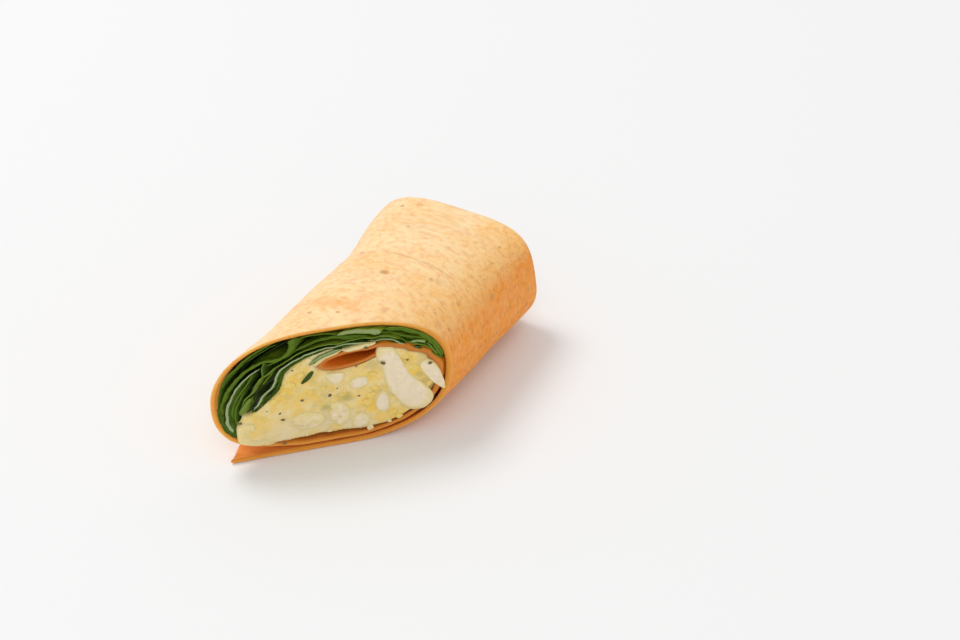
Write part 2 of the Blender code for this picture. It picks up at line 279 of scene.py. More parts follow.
def paint(colour):
    # a colour as it looks on screen, 0 to 255, for a shader socket
    parts = [value / 255 for value in colour]
    return tuple(p / 12.92 if p <= 0.04045 else ((p + 0.055) / 1.055) ** 2.4 for p in parts) + (1.0,)


def painted(**colours):
    return SimpleNamespace(**{name: paint(colour) for name, colour in colours.items()})


def newMaterial(name):
    material = bpy.data.materials.new(name)
    material.use_nodes = True
    material.node_tree.nodes.clear()
    return material, Value(material.node_tree)


# Tortilla

skin = {
    # gold, deep and the Deep colours are painted shade, with some toasted colour, for the shaded side; the inside
    # colours are partly painted shade; the inner rim colour is painted shade and the outer rim colour a painted
    # highlight
    "hues": painted(pale=(252, 218, 168), warm=(250, 194, 124), gold=(255, 186, 80), deep=(248, 152, 40),
                    light=(255, 226, 174), lightDeep=(255, 196, 96), shade=(240, 172, 104), shadeDeep=(226, 132, 48),
                    rosy=(240, 178, 138), toast=(200, 140, 78), toastDeep=(190, 104, 34), fleck=(140, 98, 50),
                    crease=(206, 132, 96), band=(240, 150, 74),
                    inside=(226, 142, 52), insideDark=(208, 124, 44), insideDeep=(216, 120, 26),
                    rim=(248, 184, 76), rimDark=(228, 143, 40), rimInner=(178, 104, 30), rimOuter=(254, 206, 136),
                    rimDeep=(192, 106, 36)),
    "flesh": (0.25, (1.0, 0.45, 0.18), 0.0016),
    "dents": 0.00022,  # metres
    "swell": 0.0005,
    # painted shade, with some toasted colour, by angle: the sheet is coloured deeper down the right side and
    # underneath, away from the key light, and at the far end of the winding inside the roll
    "shadeAndToast": ((-90, 1.0), (-30, 1.0), (12, 0.97), (40, 0.60), (64, 0.20), (86, 0.0), (150, 0.05), (200, 0.5),
                 (240, 0.8), (300, 1.2), (400, 1.5)),
    # the same painted shade, with some toasted colour, evenly over the tucked end
    "tuckShadeAndToast": 0.35,
    # how thick the sheet is by angle, as a share of the solid's, and where it keeps its outer side
    "thinner": ((-90, 1.0), (0, 0.94), (90, 0.82), (150, 0.74), (212, 0.80), (262, 0.74), (423, 0.66)),
    "flush": ((-90, 0), (-50, 1), (212, 1), (245, 0)),
    "creases": ((50.7, 50, 112, 0.00016), (13.0, 80, 140, 0.00018), (83.0, 40, 84, 0.00020)),  # y mm, angles, depth
    "creaseWidth": 0.0011,
    "creaseWander": 0.0010,
    "ragged": 0.0001,
    # toasted marks: angle, y in mm, radius in mm, strength
    "marks": ((92.5, 37.0, 1.5, 0.8), (124, 49.5, 0.8, 0.7), (113.5, 5.0, 0.9, 0.6), (95, 7.5, 0.7, 0.6),
              (101, 70.5, 0.8, 0.55), (67.5, 44, 0.9, 0.6), (39.5, 43.5, 0.9, 0.6), (117.5, 87.5, 0.9, 0.8),
              (139, 44, 1.2, 0.7), (48.5, 82.5, 0.8, 0.6), (150, 8, 0.8, 0.5), (20, 62, 1.3, 0.6)),
}


def windingRows():
    tail = np.concatenate(([0.0, 0.006, 0.016, 0.035], np.linspace(0.07, 1, 24)[:-1]))
    turn = np.linspace(-90, roll["turnEnd"], 272)
    bridge = np.linspace(0, 1, 5)[1:-1]
    fold = np.concatenate((np.linspace(42, 329, 58), (332, 334, 335)))
    place = np.concatenate((tail, turn, bridge, fold))
    kind = np.repeat((0, 1, 2, 3), (len(tail), len(turn), len(bridge), len(fold)))
    rounded = np.where(kind == 1, blend(((-90, 0), (-60, 1), (160, 1), (212, 0)), place), 0.0)
    short = np.where(kind == 1, blend(((-90, 0.003), (-60, 0), (160, 0), (212, 0.003), (235, 0.006)), place), 0.006)
    return kind, place, rounded, np.where(kind == 0, 0.003, short)


def sheetPoint(kind, place, y, drawnIn):
    inset = np.where(kind == 1, sheetInset(place), roll["sheet"] / 2) + drawnIn
    turnX, turnZ = sectionPoint(np.where(kind == 1, place, -90), inset, y)
    tailX = blend(roll["drift"], y) - blend(roll["tailWidth"], y) * (1 - place)
    foldX, foldZ = foldPoint(np.where(kind == 3, place, 42), y)
    endX, endZ = sectionPoint(roll["turnEnd"], sheetInset(roll["turnEnd"]), y)
    x = np.select((kind == 0, kind == 1, kind == 2), (tailX, turnX, endX + (foldX - endX) * place), foldX)
    z = np.select((kind == 0, kind == 1, kind == 2), (turnZ, turnZ, endZ + (foldZ - endZ) * place), foldZ)
    return x, z


def eased(array, passes):
    # each row drawn towards its neighbours, the two end rows kept
    for _ in range(passes):
        array = array.copy()
        array[:, 1:-1] = 0.5 * array[:, 1:-1] + 0.25 * (array[:, :-2] + array[:, 2:])
    return array


def unit(vectors):
    return vectors / np.maximum(np.linalg.norm(vectors, axis=-1, keepdims=True), 1e-12)


kind, place, rounded, short = windingRows()
rows = len(kind)
front = np.zeros(rows)
for _ in range(5):
    front = cutY(sheetPoint(kind, place, front, 0.0)[0])
back = roll["length"] - roll["rounding"] - short
share = np.linspace(0, 1, 84)[:, None]
y = front + (back - front) * share
drawn = np.zeros_like(y)
for turn in np.radians(np.linspace(0, 90, 9))[1:]:
    y = np.vstack((y, back + roll["rounding"] * math.sin(turn) * np.maximum(rounded, 0.15)))
    drawn = np.vstack((drawn, roll["rounding"] * (1 - math.cos(turn)) * rounded))
share = np.vstack((share, np.ones((len(y) - len(share), 1))))
x, z = sheetPoint(kind[None, :], place[None, :], y, drawn)
middle = np.stack((eased(x, 2), y, eased(z, 2)), -1)
rowPlace = np.concatenate(([0], np.cumsum(np.hypot(np.diff(middle[0, :, 0]), np.diff(middle[0, :, 2])))))


def rowOfAngle(angle):
    return 1000 * float(np.interp(angle, place[kind == 1], rowPlace[kind == 1]))


outward = unit(np.cross(np.gradient(middle, axis=1), np.gradient(middle, axis=0)))
if outward[10, np.argmin(np.abs(np.where(kind == 1, place, 999) - 90)), 2] < 0:
    outward = -outward

angleOfRow = np.where(kind == 1, place, np.where(kind == 0, -90, roll["turnEnd"]))
outerTurn = (angleOfRow > -60) & (angleOfRow < 205)
fromCut = np.clip((middle[..., 1] - front) / 0.010, 0, 1)
fromFloor = np.clip((middle[..., 2] - 0.003) / 0.010, 0, 1)
loose = fromCut * fromFloor * np.where(outerTurn, 1, 0.3)
dent = skin["dents"] * loose * (bumps(middle, 0.021, 1, 2) + 0.35 * bumps(middle, 0.007, 2, 2))
dent += skin["swell"] * fromCut * outerTurn * fromFloor
wander = skin["creaseWander"] * bumps(middle * (1, 0, 1), 0.008, 3, 2)
for creaseY, first, last, depth in skin["creases"]:
    across = (middle[..., 1] - creaseY / 1000 - wander) / skin["creaseWidth"]
    reach = np.clip((angleOfRow - first) / 12, 0, 1) * np.clip((last - angleOfRow) / 12, 0, 1)
    dent -= depth * np.exp(-across ** 2) * reach * outerTurn
    dent += 0.5 * depth * np.exp(-(across - 1.8) ** 2) * reach * outerTurn
middle = middle + outward * dent[..., None]

edge = np.minimum(rowPlace, rowPlace[-1] - rowPlace) / 0.0008
rowThickness = np.sqrt(1 - (1 - np.clip(edge, 0.03, 1)) ** 2)
thinner = blend(skin["thinner"], angleOfRow)
middle = middle + outward * ((1 - thinner) * roll["sheet"] / 2 * blend(skin["flush"], angleOfRow))[None, :, None]
thickness = roll["sheet"] / 2 * rowThickness * thinner * (1 + 0.07 * bumps(middle, 0.010, 4, 2))


def sheetLoop(station, fullness, out=0.0):
    # one loop round the sheet: its outer side, then its inner side backwards
    loop = []
    for side in (1, -1):
        points = middle[station] + outward[station] * (side * fullness * thickness[station])[:, None]
        points[:, 1] += (cutY(points[:, 0]) - front) * (1 - share[station, 0])
        loop.append(points[::side])
    points = np.vstack(loop)
    ragged = skin["ragged"] * bumps(points, 0.0016, 5, 2) * (1 if station == 0 else 0)
    points = points + np.outer(out + ragged, (math.sin(roll["slant"]), -math.cos(roll["slant"]), 0))
    return points


# the cut rim in loops from the middle of the sheet: share of its thickness, how far it stands out
capLevels = ((0.08, 0.00016), (0.4, 0.00014), (0.7, 0.00010), (0.9, 0.00002))
loops = [sheetLoop(0, fullness, out) for fullness, out in capLevels]
loops += [sheetLoop(station, 1.0, -0.00006 if station == 0 else 0.0) for station in range(len(middle))]
loopPlace = np.concatenate((rowPlace, rowPlace[::-1])) * 1000
sides = np.concatenate((np.ones(rows), -np.ones(rows)))
points = np.vstack(loops)
faces = gridFaces(len(loops), 2 * rows, True)
columns = np.tile(np.arange(2 * rows), len(loops) - 1)
levels = np.repeat(np.arange(len(loops) - 1), 2 * rows)
slots = ((levels < len(capLevels)) | (columns % rows == rows - 1)).astype(int)
strips = []
for start in (0, (len(loops) - 1) * 2 * rows):
    i = np.arange(rows - 1)
    strips.append(np.stack((start + i, start + i + 1, start + 2 * rows - 2 - i, start + 2 * rows - 1 - i), -1))
faces = np.vstack((faces, *strips))
slots = np.concatenate((slots, np.ones(2 * (rows - 1), int)))
allPlace = np.tile(loopPlace, len(loops))
allSide = np.concatenate([sides * fullness for fullness, _ in capLevels] + [sides] * len(middle))
allAngle = np.tile(np.concatenate((angleOfRow, angleOfRow[::-1])), len(loops))
sheetPlace = np.stack((allPlace, points[:, 1] * 1000, np.where(allSide > 0, 0, 90)), -1)
# painted shade, with some toasted colour, at each point of the sheet
shadeAndToast = blend(skin["shadeAndToast"], allAngle)


def tortillaMaterial():
    material, make = newMaterial("tortillaSkin")
    hue = skin["hues"]
    at = make.attribute("sheetPlace", 1)
    row, along = at.part(0), at.part(1)
    inner = at.part(2).rise(40, 50)
    broad = at.cloud(17, 3, 0.55)
    patch = at.cloud(5.2, 4, 0.6, 0.6)
    streak = at.stretched((0.22, 1.0, 1.0)).cloud(1.5, 3, 0.6)
    grain = at.cloud(1.1, 3, 0.65)
    dash = at.stretched((0.45, 1.0, 1.0)).cloud(1.05, 2, 0.5).rise(0.58, 0.70)
    blister = at.cells(8.5) + 0.12 * patch
    blister = blister.fall(0.12, 0.30) * at.cells(8.5, 1).part(0).rise(0.55, 0.75)
    # painted shade, with some toasted colour: where deep is high the colours below turn deeper and more orange, with
    # darker dashes, for the shaded side, the underside and the inner turns
    deep = make.attribute("shadeAndToast")
    colour = make.mix(0.55 * broad.rise(0.38, 0.66) + 0.32 * patch.rise(0.45, 0.70), hue.pale, hue.warm)
    colour = colour.coat(deep * (0.97 + 0.7 * (patch - 0.5)), make.mix(deep.rise(0.4, 1.0), hue.gold, hue.deep))
    colour = colour.coat(0.24 * streak.rise(0.48, 0.66) * (1 - deep), hue.warm)
    speckle = at.cloud(2.4, 2, 0.5)
    colour = colour.coat(0.42 * speckle.rise(0.50, 0.66) * (1 - 0.4 * deep), make.mix(deep, hue.light, hue.lightDeep))
    colour = colour.coat(0.36 * speckle.fall(0.34, 0.50), make.mix(deep, hue.shade, hue.shadeDeep))
    rosy = at.cloud(7.5, 3, 0.6).rise(0.52, 0.68) * grain.rise(0.30, 0.6) * (1 - deep)
    colour = colour.coat(0.42 * rosy, hue.rosy)
    colour = colour.coat(0.30 * blister, hue.toast)
    colour = colour.coat(dash * (0.16 + 0.50 * deep), make.mix(deep, hue.toast, hue.toastDeep))
    # the crease across the top, the darker band near the cut, and single toasted marks
    wander = (at.cloud(6, 3) - 0.5) * 2.2
    line = abs(along - 50.7 + wander).fall(0.1, 0.75) * row.rise(rowOfAngle(48), rowOfAngle(62))
    line = line * row.fall(rowOfAngle(98), rowOfAngle(112))
    colour = colour.coat(0.32 * line, hue.crease)
    band = abs(along - 12.5 + wander).fall(0.4, 4.4) * row.rise(rowOfAngle(76), rowOfAngle(100))
    band = band * row.fall(rowOfAngle(140), rowOfAngle(165)) * (0.5 + patch)
    colour = colour.coat(0.26 * band, hue.band)
    marked = 0
    for angle, markY, radius, strength in skin["marks"]:
        first = (row - rowOfAngle(angle)) / radius
        second = (along - markY) / radius
        away = (first * first + second * second) + (grain - 0.5) * 1.2
        marked = away.fall(0.0, 1.7) * strength + marked
    colour = colour.coat(marked, hue.toast)
    flecks = at.cells(5.5) + 0.02 * grain
    flecks = flecks.fall(0.035, 0.075) * at.cells(5.5, 1).part(1).rise(0.62, 0.70)
    colour = colour.coat(0.55 * flecks, hue.fleck)
    # the inner side of the sheet in a deeper orange, partly painted shade, and deepest on the inner turns inside the
    # roll, painted shade
    inside = make.mix(patch.rise(0.4, 0.7), hue.inside, hue.insideDark)
    colour = colour.coat(inner, inside.coat(deep.rise(1.2, 1.5), hue.insideDeep))
    height = 0.7 * patch + 0.22 * grain + 0.2 * streak - 0.6 * line
    make.surface(colour, 0.50 + 0.16 * patch, 0.32, (height, 0.00022), skin["flesh"])
    return material


def rimMaterial():
    material, make = newMaterial("tortillaCrumb")
    hue = skin["hues"]
    at = make.attribute("sheetPlace", 1)
    pores = at.stretched((1.0, 1.0, 0.0)).cloud(0.7, 3, 0.6)
    broad = at.cloud(7, 2)
    across = make.attribute("across")
    deep = make.attribute("shadeAndToast")
    colour = make.mix(pores.rise(0.45, 0.75) * 0.5 + 0.5 * broad.rise(0.35, 0.7), hue.rim, hue.rimDark)
    # painted shade on the inner side of the cut rim and a painted highlight along its outer edge
    colour = colour.coat(0.85 * across.fall(-1.0, 0.25), hue.rimInner)
    colour = colour.coat(0.8 * across.rise(0.2, 1.0), hue.rimOuter)
    # painted shade, with some toasted colour, where the sheet is shaded, as on the skin
    colour = colour.coat(0.5 * deep.rise(0.0, 1.0), hue.rimDark)
    colour = colour.coat(0.7 * deep.rise(0.9, 1.5), hue.rimDeep)
    make.surface(colour, 0.55 + 0.2 * pores, 0.3, (pores, 0.00020), skin["flesh"][:2] + (0.0014,))
    return material


skinFinish, rimFinish = tortillaMaterial(), rimMaterial()
tortillaPiece = makePiece("tortillaSkin", toWorld(points), faces, (skinFinish, rimFinish), slots,
                          {"sheetPlace": sheetPlace, "shadeAndToast": shadeAndToast, "across": allSide})
settle(tortillaPiece, "tortilla", "tortilla")
print("tortilla sheet made")

tuck = {
    "flush": 0.0003,
    "depth": 0.0130,
    "turns": 1.8,
    "ridge": 0.0017,
    "pleats": 0.0005,
    "stand": 0.0034,  # how far the pressed-in end stands back from the roll's end
    "pillow": 0.42,  # the raised middle, as a share of the way out, and its height
    "pillowRise": 0.0022,
    "relief": 0.00035,
}


def tuckFace(share, angle):
    # how far the folded-in end stands back from the roll's end
    turn = (share * tuck["turns"] * 1.6 - angle / 360) % 1
    ridge = tuck["ridge"] * np.sin(np.pi * turn ** 1.5) ** 0.8
    pleats = tuck["pleats"] * np.cos(np.radians(5 * angle)) * share
    pillow = tuck["pillowRise"] * np.cos(np.minimum(1, share / tuck["pillow"]) * np.pi / 2)
    outside = blend(((tuck["pillow"], 0), (tuck["pillow"] + 0.2, 1)), share)
    return tuck["stand"] - outside * ridge - pillow + pleats * (1 - outside)


angles = np.linspace(-90, 270, 241)[:-1]
rings = []
for ringY in np.linspace(roll["length"] - tuck["depth"], roll["length"] - roll["rounding"], 8):
    ringX, ringZ = sectionPoint(angles, tuck["flush"], np.full(angles.shape, ringY))
    rings.append(np.stack((ringX, np.full(angles.shape, ringY), ringZ), -1))
for turn in np.radians((12, 24, 36, 48, 60, 70, 78)):
    ringY = np.full(angles.shape, roll["length"] - roll["rounding"] * (1 - math.sin(turn)))
    ringX, ringZ = sectionPoint(angles, tuck["flush"] + roll["rounding"] * (1 - math.cos(turn)), ringY)
    rings.append(np.stack((ringX, ringY, ringZ), -1))
endY = np.full(angles.shape, roll["length"])
edgeX, edgeZ = sectionPoint(angles, roll["rounding"] * 1.05, endY)
centre = float(blend(roll["drift"], roll["length"])), float(blend(roll["halfHeight"], roll["length"]))
for ringShare in np.linspace(1, 0.02, 52):
    ringX, ringZ = centre[0] + (edgeX - centre[0]) * ringShare, centre[1] + (edgeZ - centre[1]) * ringShare
    ringY = roll["length"] - tuckFace(ringShare, angles)
    place3 = np.stack((ringX, ringY, ringZ), -1)
    ringY = ringY - tuck["relief"] * (1 + bumps(place3, 0.006, 6, 3))
    rings.append(np.stack((ringX, ringY, ringZ), -1))
tuckPoints = np.vstack(rings)
count = len(angles)
tuckFaces = gridFaces(len(rings), count, True).tolist()
tuckFaces += [list(range(count)), list(range(len(tuckPoints) - count, len(tuckPoints)))]
ringPlace = np.concatenate(([0], np.cumsum([float(np.linalg.norm(b[0] - a[0])) for a, b in zip(rings, rings[1:])])))
tuckPlace = np.stack((np.tile(np.interp(angles, (-90, 270), (0, 170)), len(rings)),
                      np.repeat(ringPlace, count) * 1000 + 84, np.zeros(len(tuckPoints))), -1)
spiral = np.stack((tuckPoints[:, 0] * 1000, tuckPoints[:, 2] * 1000, np.zeros(len(tuckPoints))), -1)
onFace = np.repeat(np.arange(len(rings)) > 14, count)
tuckPlace = np.where(onFace[:, None], spiral + (200, 200, 0), tuckPlace)
tuckPiece = makePiece("tortillaTuck", toWorld(tuckPoints), tuckFaces, (skinFinish,), None,
                      {"sheetPlace": tuckPlace, "shadeAndToast": np.full(len(tuckPoints), skin["tuckShadeAndToast"])}, 60)
settle(tuckPiece, "tortilla", "tortilla")
print("tucked end made")


# Egg salad

eggSalad = {
    # the low colour is painted shade in the hollows, the dark green under-leaf colour painted shade where leaves cover
    # the mash
    "hues": painted(mash=(240, 208, 118), mashPale=(240, 219, 160), mashWarm=(212, 184, 106),
                    yolk=(250, 207, 90), yolkDeep=(240, 188, 80), herb=(150, 160, 92), pale=(236, 218, 176),
                    low=(204, 182, 106), underLeaf=(46, 56, 16), speck=(120, 122, 70),
                    white=(250, 229, 198), whiteDull=(238, 221, 190)),
    "spacing": 0.00038,
    "relief": (0.00024, 0.00016),  # broad and fine
    "margin": -0.00035,
    "standOut": 0.0002,
    "softEdge": (0.0007, 0.0013),  # how far the edge falls away, and how wide it is
    "whiteGrowth": 0.0006,
    "coatStart": 0.62,  # dressing covers each piece of white from this share of the way out
    # soft areas on the face: x, z, radius in mm, strength
    "yolkAreas": ((-8.9, 30.5, 3.0, 0.8), (-11.5, 27, 2.4, 0.9), (8.6, 17, 2.8, 0.9), (8.5, 26, 3.0, 0.6),
                  (19.3, 25.5, 2.6, 1.0), (-13.7, 23, 2.6, 0.6), (-5.7, 23.5, 3.0, 0.5), (17.6, 31, 2.4, 0.8),
                  (9.6, 13.5, 2.4, 0.8), (14.8, 9.5, 2.8, 0.7), (3.0, 20.5, 2.2, 0.4), (12.2, 9.0, 2.4, 0.5),
                  (-19, 12, 3.4, 0.35), (-9.0, 19.5, 2.4, 0.4)),
    "herbAreas": ((-1.8, 17, 2.0, 0.7), (-4.4, 18.3, 1.6, 0.5), (-6.2, 30.6, 2.2, 0.7), (3.3, 19.1, 1.8, 0.8),
                  (-20.5, 20, 2.2, 0.6), (-9.2, 14, 1.6, 0.4), (-4.6, 27.4, 1.5, 0.4), (2.0, 25.2, 1.5, 0.35)),
    "paleAreas": ((-3.0, 37.6, 2.6, 0.9), (-18.5, 8, 5.0, 0.6), (-11.5, 10, 6.0, 0.85), (-3.0, 11, 5.0, 0.9),
                  (5.5, 8.5, 5.0, 0.9), (1.0, 28.0, 4.0, 0.6), (-5.5, 26.0, 2.0, 0.4), (1.5, 22.5, 2.0, 0.4)),
    # higher and lower ground: x, z, radius in mm, height in mm
    "ground": ((-19, 10.5, 5.0, 1.0), (-13, 8, 4.0, 0.6), (22.3, 20.4, 1.3, -0.8), (20.8, 23.6, 1.1, -0.8),
               (24.2, 17.2, 1.2, -0.6), (-9, 27, 3.5, 0.4), (3, 20, 2.2, -0.5), (-2, 20.5, 2.0, -0.4),
               (17.8, 30, 1.8, -0.3), (9, 31, 1.6, -0.4)),
    # the outlines below are x and z in turn, in tenths of a mm
    # the part of the face that leaves cover, where the mash lies deeper and is painted in shade, and how much deeper in
    # mm
    "underLeaves": (-310, 126, -232, 128, -226, 170, -214, 193, -199, 187, -184, 199, -162, 227, -140, 249,
                    -128, 270, -121, 300, -114, 330, -90, 360, -62, 380, -26, 393, 20, 400, 80, 398, 100, 500,
                    -310, 500),
    "leafDrop": 3.0,
    "leafDropBlend": (0.0018, 0.0010),  # inside and outside its edge
    # pieces of egg white: height in mm, lean across and up, how much dressing covers it, then its outline
    "whites": (
        (0.62, 0.02, -0.01, 0.1, (110, 372, 136, 375, 154, 342, 166, 300, 178, 264, 196, 228, 223, 189, 243, 145,
         235, 114, 218, 96, 189, 98, 166, 126, 146, 166, 130, 200, 120, 245, 115, 290, 103, 338)),
        (0.85, 0.03, 0.0, 0.06, (209, 288, 230, 293, 248, 269, 259, 236, 269, 189, 269, 164, 256, 177, 240, 198,
         226, 226, 210, 258)),
        (0.52, 0.0, 0.03, 0.3, (-19, 304, 25, 301, 24, 279, 10, 256, -12, 270)),
        (0.46, 0.0, 0.02, 0.28, (38, 260, 58, 274, 80, 266, 84, 238, 64, 220, 41, 230)),
        (0.48, 0.02, 0.0, 0.15, (104, 172, 118, 199, 132, 181, 136, 116, 124, 106, 106, 116, 100, 146)),
        (0.44, 0.0, 0.02, 0.35, (42, 106, 69, 120, 89, 99, 85, 70, 61, 59, 45, 70)),
        (0.42, 0.02, 0.02, 0.45, (-8, 177, 18, 182, 41, 141, 40, 92, 16, 78, -3, 96, -13, 134)),
        (0.4, 0.0, 0.03, 0.55, (-99, 150, -70, 162, -23, 145, -20, 102, -46, 86, -84, 90, -102, 120)),
        (1.0, -0.05, -0.02, 0.9, (-229, 150, -208, 160, -165, 133, -130, 110, -124, 70, -150, 56, -189, 62,
         -226, 82)),
        (0.1, 0.05, 0.0, 0.95, (-66, 370, -50, 384, -26, 394, 6, 399, 24, 393, 4, 376, -24, 362, -38, 340,
         -58, 346)),
        (0.6, 0.0, 0.05, 1.0, (22, 389, 44, 396, 74, 401, 98, 400, 96, 392, 64, 385, 34, 380)),
    ),
}


outlineParts = (52, 42, 96)  # points along the leaves, round the fold, and down the right side and underneath
outlineCount = sum(outlineParts) + 1


def saladOutline(y, margin):
    # y holds one value for each point of the outline
    top, arcs, low = (np.linspace(first, last, number) for (first, last), number in
                      zip(((210, 108), (160, 345), (412, 232)), outlineParts))
    overLeaves, roundFold, rest, last = np.split(y, np.cumsum(outlineParts))
    wrap = roll["sheet"] / 2 + 1.3 * roll["clearance"] + margin
    topX, topZ = sectionPoint(top, blend(roll["crescent"], top) + roll["clearance"] + margin, overLeaves)
    foldX, foldZ = foldPoint(arcs, roundFold, wrap * 1.2)
    hollow = np.where((low >= 232) & (low < 300), 0.0016 * np.sin(np.pi * (low - 232) / 68) ** 2, 0)
    lowX, lowZ = sectionPoint(low, sheetInset(low) + wrap + hollow, rest)
    lastX, lastZ = sectionPoint(222.0, roll["sheet"] + 2 * roll["clearance"] + 0.0006 + margin, last)
    return np.concatenate((topX, foldX, lowX, lastX)), np.concatenate((topZ, foldZ, lowZ, lastZ))


def areas(x, z, rows):
    # the strongest of several soft round areas at each place
    total = np.zeros_like(x)
    for areaX, areaZ, radius, strength in rows:
        away = np.hypot(x - areaX / 1000, z - areaZ / 1000) / (radius / 1000)
        total = np.maximum(total, strength * np.exp(-away ** 2))
    return total


outlineY = np.zeros(outlineCount)
for _ in range(4):
    outlineY = cutY(saladOutline(outlineY, eggSalad["margin"])[0])
edgeX, edgeZ = saladOutline(outlineY, eggSalad["margin"])
# the face is filled with small triangles between points of a slightly uneven grid
chance = random.Random(11)
step = eggSalad["spacing"]
seeds = []
nearEdge = np.stack((edgeX, edgeZ), -1)
for gridX in np.arange(edgeX.min(), edgeX.max(), step):
    for gridZ in np.arange(edgeZ.min(), edgeZ.max(), step):
        seeds.append((gridX + chance.uniform(-0.3, 0.3) * step, gridZ + chance.uniform(-0.3, 0.3) * step))
seeds = np.array(seeds)
away = np.min(np.hypot(seeds[:, None, 0] - nearEdge[None, :, 0], seeds[:, None, 1] - nearEdge[None, :, 1]), axis=1)
seeds = seeds[away > 0.5 * step]
flat = [Vector(point) for point in np.vstack((nearEdge, seeds)).tolist()]
ring = [(i, (i + 1) % outlineCount) for i in range(outlineCount)]
found = delaunay_2d_cdt(flat, ring, [], 1, 1e-7)
faceX = np.array([point[0] for point in found[0]])
faceZ = np.array([point[1] for point in found[0]])
faceTriangles = [list(face) for face in found[2]]
ringIndex = [0] * outlineCount
for index, origins in enumerate(found[3]):
    for origin in origins:
        if origin < outlineCount:
            ringIndex[origin] = index
print("egg salad face:", len(faceTriangles), "triangles")


def within(corners, x, z):
    # whether each place lies inside a closed outline
    inside = np.zeros(np.shape(x), bool)
    for (firstX, firstZ), (lastX, lastZ) in zip(corners, np.roll(corners, -1, axis=0)):
        crossed = (firstZ > z) != (lastZ > z)
        inside ^= crossed & (x < firstX + (lastX - firstX) * (z - firstZ) / (lastZ - firstZ + 1e-12))
    return inside


def underLeaves(x, z):
    # 0 outside the part that leaves cover, up to 1 well inside it
    corners = pairs(eggSalad["underLeaves"]) / 1000
    distance = np.full(np.shape(x), 1.0)
    for (firstX, firstZ), (lastX, lastZ) in zip(corners, np.roll(corners, -1, axis=0)):
        goX, goZ = lastX - firstX, lastZ - firstZ
        along = np.clip(((x - firstX) * goX + (z - firstZ) * goZ) / (goX ** 2 + goZ ** 2), 0, 1)
        distance = np.minimum(distance, np.hypot(x - firstX - along * goX, z - firstZ - along * goZ))
    inner, outer = eggSalad["leafDropBlend"]
    return np.where(within(corners, x, z), np.clip(0.25 + distance / inner, 0, 1),
                    np.clip(0.25 - distance / outer, 0, 1))


def groundHeight(x, z):
    broad, fine = eggSalad["relief"]
    height = broad * lineBumps(x, z, 0.0, 0.0042, 7, 3) + fine * lineBumps(x, z, 0.0, 0.0014, 8, 2)
    for groundX, groundZ, radius, lift in eggSalad["ground"]:
        reach = np.hypot(x - groundX / 1000, z - groundZ / 1000) / (radius / 1000)
        height = height + lift / 1000 * np.exp(-reach ** 2)
    return height - eggSalad["leafDrop"] / 1000 * underLeaves(x, z)


edgeAway = np.min(np.hypot(faceX[:, None] - nearEdge[None, :, 0], faceZ[:, None] - nearEdge[None, :, 1]), axis=1)
fallAway = eggSalad["softEdge"][0] * (1 - np.clip(edgeAway / eggSalad["softEdge"][1], 0, 1)) ** 2
faceOut = groundHeight(faceX, faceZ) - fallAway + eggSalad["standOut"]
mashPoints = facePoints(faceX, faceZ, faceOut)
walls = []
for wallShare in (0.02, 0.06, 0.15, 0.3, 0.5, 0.75, 1.0):
    wallY = outlineY + (roll["length"] - roll["fillingEnd"] - outlineY) * wallShare
    wallX, wallZ = saladOutline(wallY, -0.00005 if wallShare > 0.03 else -0.0002)
    walls.append(np.stack((wallX, wallY, wallZ), -1))
mashFaces = list(faceTriangles)
before = ringIndex
start = len(mashPoints)
for level in range(len(walls)):
    after = list(range(start + level * outlineCount, start + (level + 1) * outlineCount))
    mashFaces += [[before[i], before[j], after[j], after[i]] for i, j in ring]
    before = after
mashFaces.append(before)
mashPoints = np.vstack((mashPoints, *walls))


def mashMaterial():
    material, make = newMaterial("eggMash")
    hue = eggSalad["hues"]
    at = make.place()
    lump = at.cloud(3.2, 4, 0.6, 0.4)
    crumb = at.cloud(1.2, 3, 0.6)
    fine = at.cloud(0.45, 2, 0.5)
    colour = make.mix(lump.rise(0.35, 0.65), hue.mash, hue.mashPale)
    colour = colour.coat(0.55 * crumb.rise(0.55, 0.70), hue.yolk)
    colour = colour.coat(0.55 * at.cloud(7.5, 3, 0.6).rise(0.48, 0.66), hue.mashWarm)
    yolk = make.attribute("yolkArea") * (0.55 + 0.9 * crumb.rise(0.38, 0.62))
    colour = colour.coat(yolk.rise(0.05, 0.75), hue.yolk)
    colour = colour.coat(0.5 * yolk.rise(0.6, 1.2) * lump.rise(0.45, 0.6), hue.yolkDeep)
    herb = make.attribute("herbArea") * (0.4 + lump)
    colour = colour.coat(0.75 * herb.rise(0.15, 0.9), hue.herb)
    colour = colour.coat(make.attribute("paleArea").rise(0.2, 0.9) * 0.8, hue.pale)
    # painted shade in the hollows: lower ground darker and more olive
    colour = colour.coat(0.6 * make.attribute("hollowShade").rise(0.15, 1.3), hue.low)
    # painted shade: dark green where leaves cover the mash
    colour = colour.coat(make.attribute("underLeaf").rise(0.25, 0.6), hue.underLeaf)
    specks = at.cells(1.9)
    specks = specks.fall(0.06, 0.13) * at.cells(1.9, 1).part(0).rise(0.84, 0.88)
    colour = colour.coat(0.6 * specks, hue.speck)
    make.surface(colour, 0.30 + 0.22 * crumb, 0.42, (0.6 * crumb + 0.3 * fine, 0.00024),
                 (0.35, (1.0, 0.75, 0.35), 0.0018))
    return material


